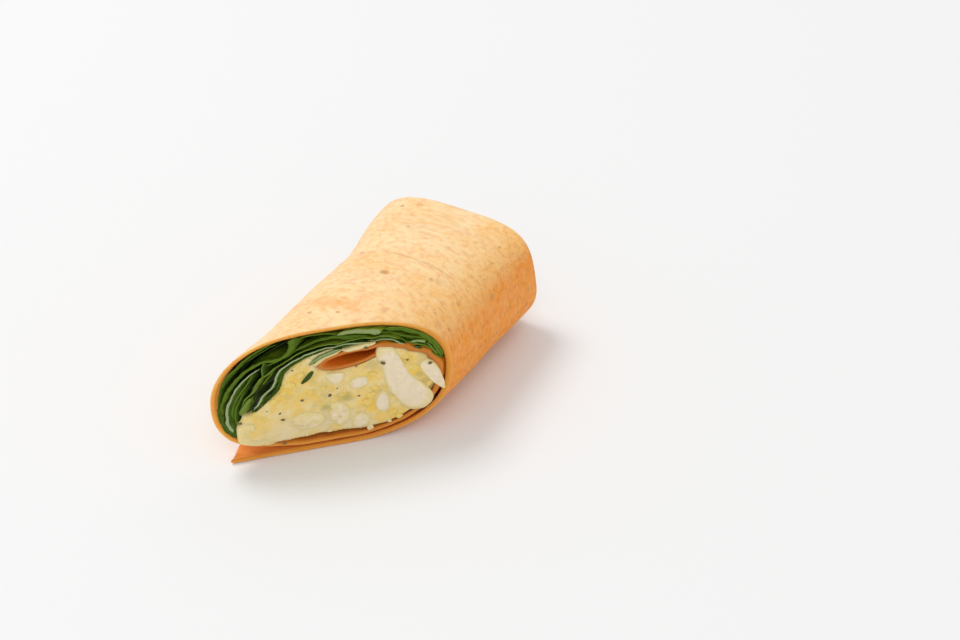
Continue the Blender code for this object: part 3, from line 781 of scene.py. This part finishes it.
def whiteMaterial():
    material, make = newMaterial("eggWhite")
    hue = eggSalad["hues"]
    at = make.place()
    smear = at.cloud(2.6, 3, 0.6, 0.5)
    fine = at.cloud(0.7, 3, 0.5)
    film = (make.attribute("coated") + (smear - 0.5) * 1.3).rise(0.25, 0.75)
    colour = make.mix(smear.rise(0.3, 0.7), hue.white, hue.whiteDull)
    colour = colour.coat(film, make.mix(fine.rise(0.5, 0.7), hue.mashPale, hue.mash))
    make.surface(colour, 0.24 + 0.2 * smear, 0.45, (0.7 * smear + 0.2 * fine, 0.00022),
                 (0.5, (1.0, 0.85, 0.7), 0.0022))
    return material


# values for the face, then for the walls behind it
mashValues = {f"{name}Area": areas(faceX, faceZ, eggSalad[f"{name}Areas"]) for name in ("yolk", "herb", "pale")}
# painted shade, stronger where the ground lies lower
mashValues["hollowShade"] = -2600 * groundHeight(faceX, faceZ)
mashValues = {name: np.pad(values, (0, len(mashPoints) - len(faceX))) for name, values in mashValues.items()}
# painted shade under the leaves, on the face and on the walls
mashValues["underLeaf"] = np.concatenate((underLeaves(faceX, faceZ), np.tile(underLeaves(edgeX, edgeZ), len(walls))))
mashPiece = makePiece("eggMash", toWorld(mashPoints), mashFaces, (mashMaterial(),), None, mashValues, 60)
settle(mashPiece, "egg_salad", "egg_salad")


def roundedOutline(corners, count):
    # a closed outline through softened corners, with evenly spaced points
    line = pairs(corners)
    for _ in range(3):
        after = np.roll(line, -1, axis=0)
        line = np.stack((0.83 * line + 0.17 * after, 0.17 * line + 0.83 * after), 1).reshape(-1, 2)
    return spaced(np.vstack((line, line[:1])), lambda whole: np.linspace(0, whole, count + 1)[:-1])


whitePoints, whiteFaces, whiteCoat = [], [], []
# each piece in rings from its middle out: share of the way, drop in mm
profile = [(reach, 0.0) for reach in np.linspace(0.04, 0.72, 10)]
profile += [(0.79, -0.03), (0.86, -0.09), (0.92, -0.19), (0.97, -0.36), (1.01, -0.62), (1.03, -1.2), (1.0, -2.2)]
count, rings, start = 96, len(profile), 0
for number, (out, leanX, leanZ, coated, corners) in enumerate(eggSalad["whites"]):
    outline = roundedOutline(corners, count) / 1000
    heart = outline.mean(axis=0)
    outline = heart + (outline - heart) * (1 + eggSalad["whiteGrowth"] / np.ptp(outline, axis=0).max())
    for reach, drop in profile:
        ringAt = heart + (outline - heart) * reach
        wobble = 0.00010 * lineBumps(ringAt[:, 0], ringAt[:, 1], number * 0.01, 0.0022, 9, 2)
        ringAt = heart + (ringAt - heart) * (1 + wobble[:, None] * 120)
        lean = leanX * (ringAt[:, 0] - heart[0]) + leanZ * (ringAt[:, 1] - heart[1])
        height = out / 1000 + lean + drop / 1000 + 2.0 * wobble
        whitePoints.append(facePoints(ringAt[:, 0], ringAt[:, 1], height))
        whiteCoat.append(np.full(count, coated + max(0, reach - eggSalad["coatStart"]) * 2.0))
    whiteFaces += gridFaces(rings, count, True, start).tolist()
    whiteFaces += [list(range(start, start + count)), list(range(start + (rings - 1) * count, start + rings * count))]
    start += rings * count
whitePiece = makePiece("eggWhitePieces", toWorld(np.vstack(whitePoints)), whiteFaces, (whiteMaterial(),), None,
                       {"coated": np.concatenate(whiteCoat)}, 70)
settle(whitePiece, "egg_salad", "egg_salad")
print("egg salad made")

# Small things on the face: yolk crumbs, pepper and bits of dressing. x, z and size in mm
crumbs = {
    "yolk": ((-8.2, 31.5, 1.3), (-10.6, 28.4, 1.5), (-12.0, 25.8, 1.1), (8.9, 18.6, 1.3), (8.2, 15.8, 1.5),
             (19.4, 26.8, 1.3), (9.3, 27.0, 1.2), (17.4, 32.0, 1.0), (-5.4, 24.2, 1.2), (-14.2, 22.6, 1.1),
             (14.6, 10.0, 1.2), (2.2, 20.8, 1.0), (10.0, 21.4, 1.1), (-2.6, 24.6, 0.9), (-17.6, 17.2, 0.9),
             (15.8, 8.0, 1.0)),
    "pepper": ((-7.6, 21.4, 0.46), (-0.9, 21.4, 0.52), (-12.2, 14.8, 0.46), (-12.9, 17.6, 0.34),
               (-22.3, 16.4, 0.42), (-20.9, 21.0, 0.38), (-11.9, 5.2, 0.4), (11.7, 31.4, 0.6), (23.1, 28.4, 0.5),
               (7.6, 38.9, 0.45), (17.8, 30.4, 0.34), (5.4, 31.6, 0.28), (24.7, 17.1, 0.4), (6.1, 19.3, 0.34),
               (-9.8, 34.2, 0.28), (-13.4, 6.2, 0.24), (-16.0, 19.4, 0.22), (0.8, 24.0, 0.22)),
    "bits": ((8.9, 5.0, 0.9), (-1.0, 6.9, 0.6), (13.6, 6.4, 0.6), (-6.4, 6.6, 0.5)),
}


def scatter(name, rows, flatness, lift, material, seed):
    chance = random.Random(seed)
    mesh = bmesh.new()
    for crumbX, crumbZ, size in rows:
        made = bmesh.ops.create_icosphere(mesh, subdivisions=3, radius=1.0)["verts"]
        ground = float(groundHeight(np.array([crumbX / 1000]), np.array([crumbZ / 1000]))[0])
        ground = ground + eggSalad["standOut"] + topOfWhites(crumbX, crumbZ)
        offset = Vector([chance.uniform(-40, 40) for _ in range(3)])
        long, turn = chance.uniform(0.8, 1.3), chance.uniform(0, math.tau)
        for vert in made:
            shape = vert.co * (1 + 0.35 * noise.fractal(vert.co * 1.3 + offset, 0.8, 2.0, 3))
            sideways, up = shape.x * long, shape.z / long
            sideways, up = (sideways * math.cos(turn) - up * math.sin(turn),
                            sideways * math.sin(turn) + up * math.cos(turn))
            place3 = facePoints((crumbX + sideways * size) / 1000, (crumbZ + up * size) / 1000,
                                ground + (shape.y * flatness + lift) * size / 1000)
            vert.co = Vector(toWorld(place3).tolist())
    data = bpy.data.meshes.new(name)
    mesh.to_mesh(data)
    mesh.free()
    data.materials.append(material)
    data.shade_smooth()
    return addObject(name, data)


def topOfWhites(x, z):
    # extra height where a crumb lies on a piece of egg white rather than on the mash
    for out, _, _, _, corners in eggSalad["whites"]:
        if within(pairs(corners), x, z):
            return out / 1000
    return 0.0


def plainFinish(name, first, second, size, roughness, weight=0.0):
    material, make = newMaterial(name)
    patch = make.place().cloud(size, 3, 0.6)
    colour = make.mix(patch.rise(0.35, 0.65), paint(first), paint(second))
    make.surface(colour, roughness + 0.1 * patch, 0.5, (patch, 0.00015), (weight, (1.0, 0.7, 0.3), 0.0012))
    return material


for name, key, flatness, lift, finish, seed in (
        ("yolkCrumbs", "yolk", 0.30, -0.08, ("eggYolk", (248, 216, 122), (244, 204, 104), 0.8, 0.5, 0.3), 3),
        ("blackPepper", "pepper", 0.50, 0.0, ("pepperSkin", (86, 72, 46), (130, 112, 74), 0.3, 0.55), 4),
        ("saladBits", "bits", 0.45, -0.2, ("dressing", (240, 226, 184), (236, 206, 140), 0.9, 0.35, 0.3), 5)):
    settle(scatter(name, crumbs[key], flatness, lift, plainFinish(*finish), seed), "egg_salad", "egg_salad")
print("crumbs, pepper and bits made")


# Spinach

# Each leaf: its layer, how far its cut edge stands out of the face and its thickness at its two ends in
# mm, how bright it is, how pale its edge is, how deep it runs in mm, and the line of its edge on the
# face, x and z in turn in tenths of a mm
spinach = {
    "hues": painted(dark=(24, 44, 2), middle=(66, 94, 6), bright=(132, 150, 40), vein=(128, 158, 66),
                    edgeDark=(52, 80, 6), edge=(100, 130, 26), edgePale=(184, 196, 150)),
    "spacing": 0.42,  # mm between points of an edge
    "wavy": 0.00022,
    "curl": 0.00035,
    "ripple": 0.00075,
    "firstRipple": 0.0002,  # the outermost layer lies close against the tortilla
    "specular": 0.12,
    # the plain layers deeper in the roll
    "layerStart": 0.009,
    "layerThickness": 0.0005,
    "layerRipple": 0.0002,
    "leaves": (
        (1, (-0.6, 0.2), (0.4, 1.2), 0.75, 0.35, 24, (-234, 116, -249, 146, -262, 186, -264, 217, -261, 250,
         -254, 282, -242, 312, -227, 336, -209, 360, -186, 379, -162, 390, -140, 389, -121, 395, -107, 409,
         -99, 430, -99, 452, -102, 463)),
        (1, (-1.2, -1.6), (0.4, 0.4), 0.55, 0.2, 24, (-254, 162, -267, 204, -266, 250, -260, 296, -242, 338,
         -216, 376, -184, 408, -154, 429, -130, 442)),
        (1, (0.0, -1.6), (1.1, 0.6), 0.55, 0.32, 24, (-212, 102, -229, 115, -246, 136, -264, 168, -273, 206,
         -275, 248, -269, 292, -255, 334, -231, 373, -201, 407, -168, 432, -133, 453, -97, 469, -56, 477)),
        (1, (0.4, 0.1), (1.0, 0.6), 0.45, 0.1, 9, (-226, 106, -242, 122, -256, 146, -266, 174, -272, 204,
         -275, 234)),
        (2, (0.4, -0.6), (1.3, 0.5), 0.35, 0.85, 22, (-239, 133, -250, 169, -252, 211, -246, 247, -236, 274,
         -223, 302, -206, 330, -190, 349, -172, 362)),
        (2, (-0.8, -1.5), (0.45, 0.45), 0.4, 0.5, 16, (-166, 314, -164, 337, -164, 360, -160, 379, -146, 382)),
        (3, (-0.4, -1.8), (0.55, 0.55), 0.4, 0.4, 22, (-236, 143, -240, 178, -238, 203, -233, 228, -226, 252,
         -216, 274, -204, 295, -194, 316, -186, 336)),
        (3, (-0.5, -2.4), (0.5, 0.5), 0.45, 0.45, 20, (-229, 152, -231, 186, -228, 208, -221, 229, -215, 246,
         -208, 266, -199, 284)),
        (3, (0.0, -0.6), (1.5, 1.1), 0.9, 0.6, 12, (-220, 192, -213, 212, -203, 231, -194, 248)),
        (4, (-0.9, -0.4), (0.7, 1.4), 0.75, 0.25, 20, (-156, 366, -124, 384, -98, 400, -74, 417, -46, 431, -16, 438,
         16, 436, 50, 429, 80, 424)),
        (7, (0.8, 0.7), (1.3, 1.5), 0.4, 0.75, 6, (-56, 350, -43, 367, -25, 381, -5, 391, 16, 395)),
        (4, (-1.0, 0.6), (0.46, 0.46), 0.95, 0.55, 24, (-216, 192, -214, 218, -208, 240, -198, 259, -187, 280,
         -181, 298, -174, 315, -163, 325, -152, 337, -142, 349, -129, 360, -115, 372, -100, 385, -86, 396, -66, 409,
         -39, 416, -18, 418, 4, 416, 26, 418, 54, 422, 77, 421, 95, 418, 116, 418, 134, 412, 154, 399)),
        (5, (-1.6, 0.4), (0.44, 0.44), 0.85, 0.4, 24, (-106, 440, -80, 448, -61, 454, -39, 456, -18, 455, 4, 449,
         28, 446, 53, 444, 77, 436, 95, 431, 112, 427, 126, 424, 143, 418, 159, 409, 176, 399, 193, 390, 209, 384,
         223, 376, 234, 356, 246, 330, 254, 306)),
        (5, (0.0, 0.3), (1.3, 2.1), 1.15, 0.78, 12, (10, 450, 28, 455, 53, 454, 76, 449, 96, 442, 109, 434)),
        (5, (0.2, -0.1), (1.1, 0.6), 0.95, 0.3, 22, (120, 444, 144, 440, 168, 429, 190, 412, 210, 396, 228, 378,
         242, 354, 254, 326, 262, 300)),
        (6, (0.2, -0.4), (0.8, 0.5), 0.5, 0.9, 24, (-186, 206, -176, 229, -166, 250, -153, 271, -141, 287,
         -135, 307, -132, 332, -122, 350, -106, 363, -89, 376, -72, 385, -54, 392, -35, 400, -16, 404, 4, 403,
         24, 405, 46, 404, 76, 399, 98, 397, 120, 400, 140, 392, 158, 377, 174, 362, 189, 350, 204, 342)),
        (6, (-1.4, -1.8), (0.6, 0.6), 0.4, 0.45, 18, (-190, 216, -183, 238, -176, 260, -169, 280, -154, 304,
         -143, 324, -135, 346)),
        (6, (0.2, 0.5), (0.7, 1.1), 0.95, 0.8, 7, (182, 373, 194, 376, 206, 374, 218, 368)),
        (6, (-0.2, -0.2), (0.42, 0.42), 0.6, 0.6, 18, (222, 364, 232, 342, 242, 320, 249, 304)),
        (7, (-0.2, -0.4), (1.2, 0.6), 0.25, 0.12, 24, (-192, 192, -182, 204, -166, 222, -150, 241, -136, 260,
         -128, 284, -124, 310, -117, 333, -104, 349, -89, 361, -70, 375, -50, 385, -33, 391, -16, 395, 4, 398,
         24, 399, 46, 397)),
        (7, (0.3, 0.0), (0.5, 0.5), 0.1, 0.0, 18, (-186, 196, -172, 213, -159, 229, -146, 246, -135, 263)),
        (7, (-0.2, -0.4), (0.42, 0.42), 0.7, 0.4, 20, (166, 362, 192, 346, 214, 332, 232, 318, 248, 300, 262, 282)),
        (6, (0.1, -0.3), (0.42, 0.42), 0.8, 0.5, 20, (178, 379, 202, 362, 222, 346, 239, 328, 253, 306, 262, 289)),
        (7, (-0.6, -0.9), (0.42, 0.42), 0.5, 0.3, 22, (94, 403, 118, 405, 140, 400, 160, 388, 178, 372, 196, 358,
         216, 346, 234, 330)),
        (4, (-0.7, -0.9), (0.42, 0.42), 0.6, 0.35, 22, (124, 416, 144, 410, 164, 399, 182, 386, 202, 372, 220, 356,
         234, 336, 244, 314)),
        (7, (-0.5, -0.8), (0.42, 0.42), 0.55, 0.2, 20, (136, 387, 152, 373, 170, 356, 188, 342, 206, 330, 224, 320,
         242, 306)),
    ),
}


def throughPoints(corners, spacing):
    # a smooth line through the corners, with evenly spaced points
    line = pairs(corners)
    padded = np.vstack((2 * line[0] - line[1], line, 2 * line[-1] - line[-2]))
    dense = []
    for a, b, c, d in zip(padded, padded[1:], padded[2:], padded[3:]):
        for t in np.linspace(0, 1, 12, endpoint=False):
            square, cube = 2 * a - 5 * b + 4 * c - d, 3 * b - a - 3 * c + d
            dense.append(0.5 * ((2 * b) + (c - a) * t + square * t ** 2 + cube * t ** 3))
    return spaced(np.array(dense + [line[-1]]), lambda whole: np.linspace(0, whole, max(8, int(whole / spacing))))


def sheetSolid(sheet, thickness, start, cut=False):
    # a closed solid from a grid of points: (depth, along, 3), thickness in metres at each point. With cut,
    # its front edge lies along the slanted cut
    normal = unit(np.cross(np.gradient(sheet, axis=1), np.gradient(sheet, axis=0)))
    deep, along = sheet.shape[:2]
    loops = []
    for level in range(deep):
        upper = sheet[level] + normal[level] * thickness[level][:, None] / 2
        lower = sheet[level] - normal[level] * thickness[level][:, None] / 2
        if cut:
            upper[:, 1] += cutY(upper[:, 0] - sheet[level][:, 0])
            lower[:, 1] += cutY(lower[:, 0] - sheet[level][:, 0])
        loops.append(np.vstack((upper, lower[::-1])))
    faces = gridFaces(deep, 2 * along, True, start).tolist()
    slots = [0] * len(faces)
    for base, slot in ((start, 1), (start + (deep - 1) * 2 * along, 0)):
        for i in range(along - 1):
            faces.append([base + i, base + i + 1, base + 2 * along - 2 - i, base + 2 * along - 1 - i])
            slots.append(slot)
    return np.vstack(loops), faces, slots


def leafPiece(number):
    points, faces, slots, tints, pales, places = [], [], [], [], [], []
    start = 0
    spacing = spinach["spacing"]
    ripple = spinach["firstRipple" if number == 1 else "ripple"]
    for index, (owner, outs, thick, tint, pale, depth, corners) in enumerate(spinach["leaves"]):
        if owner != number:
            continue
        line = throughPoints(corners, spacing)
        count = len(line)
        share = np.linspace(0, 1, count)
        lineX, lineZ = line[:, 0] / 1000, line[:, 1] / 1000
        wavy = spinach["wavy"] * lineBumps(lineX, lineZ, index * 0.017, 0.0024, 80 + index, 3)
        goX, goZ = (np.gradient(values) / (spacing / 1000) for values in (lineX, lineZ))
        lineX, lineZ = lineX - wavy * goZ, lineZ + wavy * goX
        ragged = lineBumps(lineX, lineZ, index * 0.013, 0.003, 20 + index, 3)
        out = (outs[0] + (outs[1] - outs[0]) * share + 0.35 * ragged) / 1000
        edgeLine = facePoints(lineX, lineZ, out)
        tangent = unit(np.gradient(np.stack((lineX, lineZ), -1), axis=0))
        side = np.stack((-tangent[:, 1], np.zeros(count), tangent[:, 0]), -1)
        steps = np.concatenate(([0, 0.12, 0.35, 0.7], np.linspace(1.2, depth, max(8, int(depth / 1.1))))) / 1000
        sheet = []
        for back in steps:
            wave = lineBumps(lineX, lineZ, back + index * 0.02, 0.0065, 40 + index, 2)
            sway = ripple * wave * min(1, back / 0.006) + spinach["curl"] * math.exp(-back / 0.0012)
            sheet.append(edgeLine + np.array((0, back, 0)) + side * sway[:, None])
        sheet = np.array(sheet)
        taper = np.minimum(1, np.minimum(share, 1 - share) * count * spacing / 0.8)
        crinkle = 1 + 0.25 * lineBumps(lineX, lineZ, 0.0, 0.0018, 60 + index, 2)
        thickness = (thick[0] + (thick[1] - thick[0]) * share) / 1000 * np.maximum(0.35, taper) * crinkle
        softFront = np.where(np.arange(len(steps)) == 0, 0.72, 1.0)
        solid, solidFaces, solidSlots = sheetSolid(sheet, np.outer(softFront, thickness), start, True)
        points.append(solid)
        faces += solidFaces
        slots += solidSlots
        loopAlong = np.concatenate((share, share[::-1])) * count * spacing
        places.append(np.stack((np.tile(loopAlong, len(steps)) + index * 31, np.repeat(steps * 1000, 2 * count),
                                np.tile(np.repeat((0.0, 40.0), count), len(steps))), -1))
        tints.append(np.full(len(solid), tint))
        pales.append(np.full(len(solid), pale))
        start += len(solid)
    # the rest of the layer, deeper in the roll
    first = roll["sheet"] + 2 * roll["clearance"] + 0.00035
    pitch = (0.93 * float(blend(roll["crescent"], 152)) - roll["clearance"] - 0.00035 - first) / 6
    inset = first + pitch * (number - 1)
    angles = np.arange(17, 208.5, 2.0)
    angles = angles[blend(roll["crescent"], angles) - roll["clearance"] - 0.0004 > inset]
    frontY = cutY(sectionPoint(angles, inset, np.zeros(len(angles)))[0]) + spinach["layerStart"]
    layer = []
    for level in np.linspace(0, 1, 14):
        layerY = frontY + (roll["length"] - roll["fillingEnd"] - frontY) * level
        ripple = spinach["layerRipple"] * np.sin(angles * 0.18 + number + 3 * level)
        layerX, layerZ = sectionPoint(angles, inset + ripple, layerY)
        layer.append(np.stack((layerX, layerY, layerZ), -1))
    layer = np.array(layer)
    solid, solidFaces, _ = sheetSolid(layer, np.full(layer.shape[:2], spinach["layerThickness"]), start)
    points.append(solid)
    faces += solidFaces
    slots += [0] * len(solidFaces)
    places.append(solid * 1000)
    tints.append(np.full(len(solid), 0.2))
    pales.append(np.zeros(len(solid)))
    values = {"leafTint": np.concatenate(tints), "edgePale": np.concatenate(pales), "leafPlace": np.vstack(places)}
    return makePiece(f"spinachLeaf{number}", toWorld(np.vstack(points)), faces, leafFinishes, slots, values, 50)


def leafMaterials():
    hue = spinach["hues"]
    face, make = newMaterial("spinachFace")
    at = make.attribute("leafPlace", 1)
    patch = at.cloud(3.4, 3, 0.6)
    fine = at.cloud(0.7, 3, 0.6)
    tint = make.attribute("leafTint") + (patch - 0.5) * 0.7
    colour = make.mix(tint.rise(0.05, 0.75), hue.dark, hue.middle)
    colour = colour.coat(tint.rise(0.60, 1.15), hue.bright)
    veins = abs(at.stretched((1.0, 0.25, 1.0)).cloud(2.3, 2, 0.5) - 0.5).fall(0.0, 0.02)
    colour = colour.coat(0.35 * veins, hue.vein)
    colour = colour.coat(0.18 * at.part(2).rise(15, 25), hue.vein)
    height = 0.5 * patch + 0.25 * fine - 0.5 * veins
    make.surface(colour, 0.34 + 0.18 * fine, spinach["specular"], (height, 0.00022), (0.12, (0.5, 1.0, 0.2), 0.0008))
    edge, make = newMaterial("spinachCutEdge")
    fine = make.attribute("leafPlace", 1).cloud(1.2, 3, 0.6)
    pale = make.attribute("edgePale") + (fine - 0.5) * 0.9
    colour = make.mix(pale.rise(0.0, 0.5), hue.edgeDark, hue.edge)
    colour = colour.coat(pale.rise(0.45, 1.1), hue.edgePale)
    make.surface(colour, 0.4 + 0.1 * fine, spinach["specular"], (fine, 0.0001))
    return face, edge


leafFinishes = leafMaterials()
for number in range(1, 8):
    settle(leafPiece(number), "spinach", f"spinach_leaf_{number}")
print("spinach leaves made")

# A shred of leaf that lies on the egg salad
shred = {"line": (-76, 284, -69, 293, -62, 303, -56, 314, -50, 326), "width": 1.7, "out": 0.34, "thickness": 0.0003}
line = throughPoints(shred["line"], 0.3) / 1000
share = np.linspace(0, 1, len(line))
tangent = unit(np.gradient(line, axis=0))
shredSheet = []
for across in np.linspace(-0.5, 0.5, 7):
    width = shred["width"] / 1000 * across * np.sqrt(np.clip(np.sin(np.pi * (0.04 + 0.92 * share)), 0, 1))
    shredX, shredZ = line[:, 0] - tangent[:, 1] * width, line[:, 1] + tangent[:, 0] * width
    shredOut = groundHeight(shredX, shredZ) + shred["out"] / 1000 - 0.0008 * (2 * across) ** 2 * 0.5
    shredSheet.append(facePoints(shredX, shredZ, shredOut))
shredSheet = np.array(shredSheet)
solid, solidFaces, _ = sheetSolid(shredSheet, np.full(shredSheet.shape[:2], shred["thickness"]), 0)
shredValues = {"leafTint": np.full(len(solid), 0.1), "edgePale": np.zeros(len(solid)), "leafPlace": solid * 1000}
shredPiece = makePiece("spinachShred", toWorld(solid), solidFaces, leafFinishes, [0] * len(solidFaces), shredValues, 50)
settle(shredPiece, "egg_salad", "egg_salad")

# Floor, light and camera
studio = {
    "target": (0.007917, -0.030285, 0.023),
    "azimuth": math.radians(29.81),
    "elevation": math.radians(36.51),
    "distance": 0.85,
    "lens": 95.625,
    "fill": 12.0,
    "aim": (0.04344, 0.02273),  # the aim point, right of the target and above it
    "floor": (238, 238, 238),
    "floorDrop": 0.0002,
    "key": 35.0,
    "sky": 0.66,
}
camera = addObject("camera", bpy.data.cameras.new("camera"))
a, e = studio["azimuth"], studio["elevation"]
backward = Vector((math.sin(a) * math.cos(e), -math.cos(a) * math.cos(e), math.sin(e)))
rightward = Vector((math.cos(a), math.sin(a), 0))
upward = backward.cross(rightward)
target = Vector(studio["target"])
camera.location = target + backward * studio["distance"]
aim = target + rightward * studio["aim"][0] + upward * studio["aim"][1]
away = (camera.location - aim).normalized()
level = (rightward - away * rightward.dot(away)).normalized()
camera.rotation_euler = Matrix((level, away.cross(level), away)).transposed().to_euler()
camera.data.lens = studio["lens"]
camera.data.sensor_width = 36
camera.data.clip_start = 0.01
bpy.context.scene.camera = camera

floorPoints = [(x, y, -studio["floorDrop"]) for x in (-3, 3) for y in (-3, 3)]
floorFinish, make = newMaterial("studioFloor")
shade = make.node("ShaderNodeTexCoord", None, None, 3).cloud(0.4, 2)
make.surface(make.mix(shade, paint(studio["floor"]), paint([v + 2 for v in studio["floor"]])), 0.9, 0.1)
floor = makePiece("studioFloor", floorPoints, [(0, 2, 3, 1)], (floorFinish,))


def softLight(name, place3, size, power):
    light = bpy.data.lights.new(name, "AREA")
    light.shape = "DISK"
    light.size = size
    light.energy = power
    lamp = addObject(name, light)
    lamp.location = place3
    lamp.rotation_euler = (Vector((0, 0, 0.02)) - Vector(place3)).to_track_quat("-Z", "Y").to_euler()


softLight("keyLight", (-1.5, 0.2, 2.6), 1.3, studio["key"])
softLight("fillLight", (1.0, -1.8, 2.2), 1.4, studio["fill"])
world = bpy.data.worlds.new("studioWorld")
world.use_nodes = True
world.node_tree.nodes["Background"].inputs["Color"].default_value = (1, 1, 1, 1)
world.node_tree.nodes["Background"].inputs["Strength"].default_value = studio["sky"]
bpy.context.scene.world = world
bpy.context.scene.view_settings.view_transform = "Standard"
print("floor, light and camera ready")
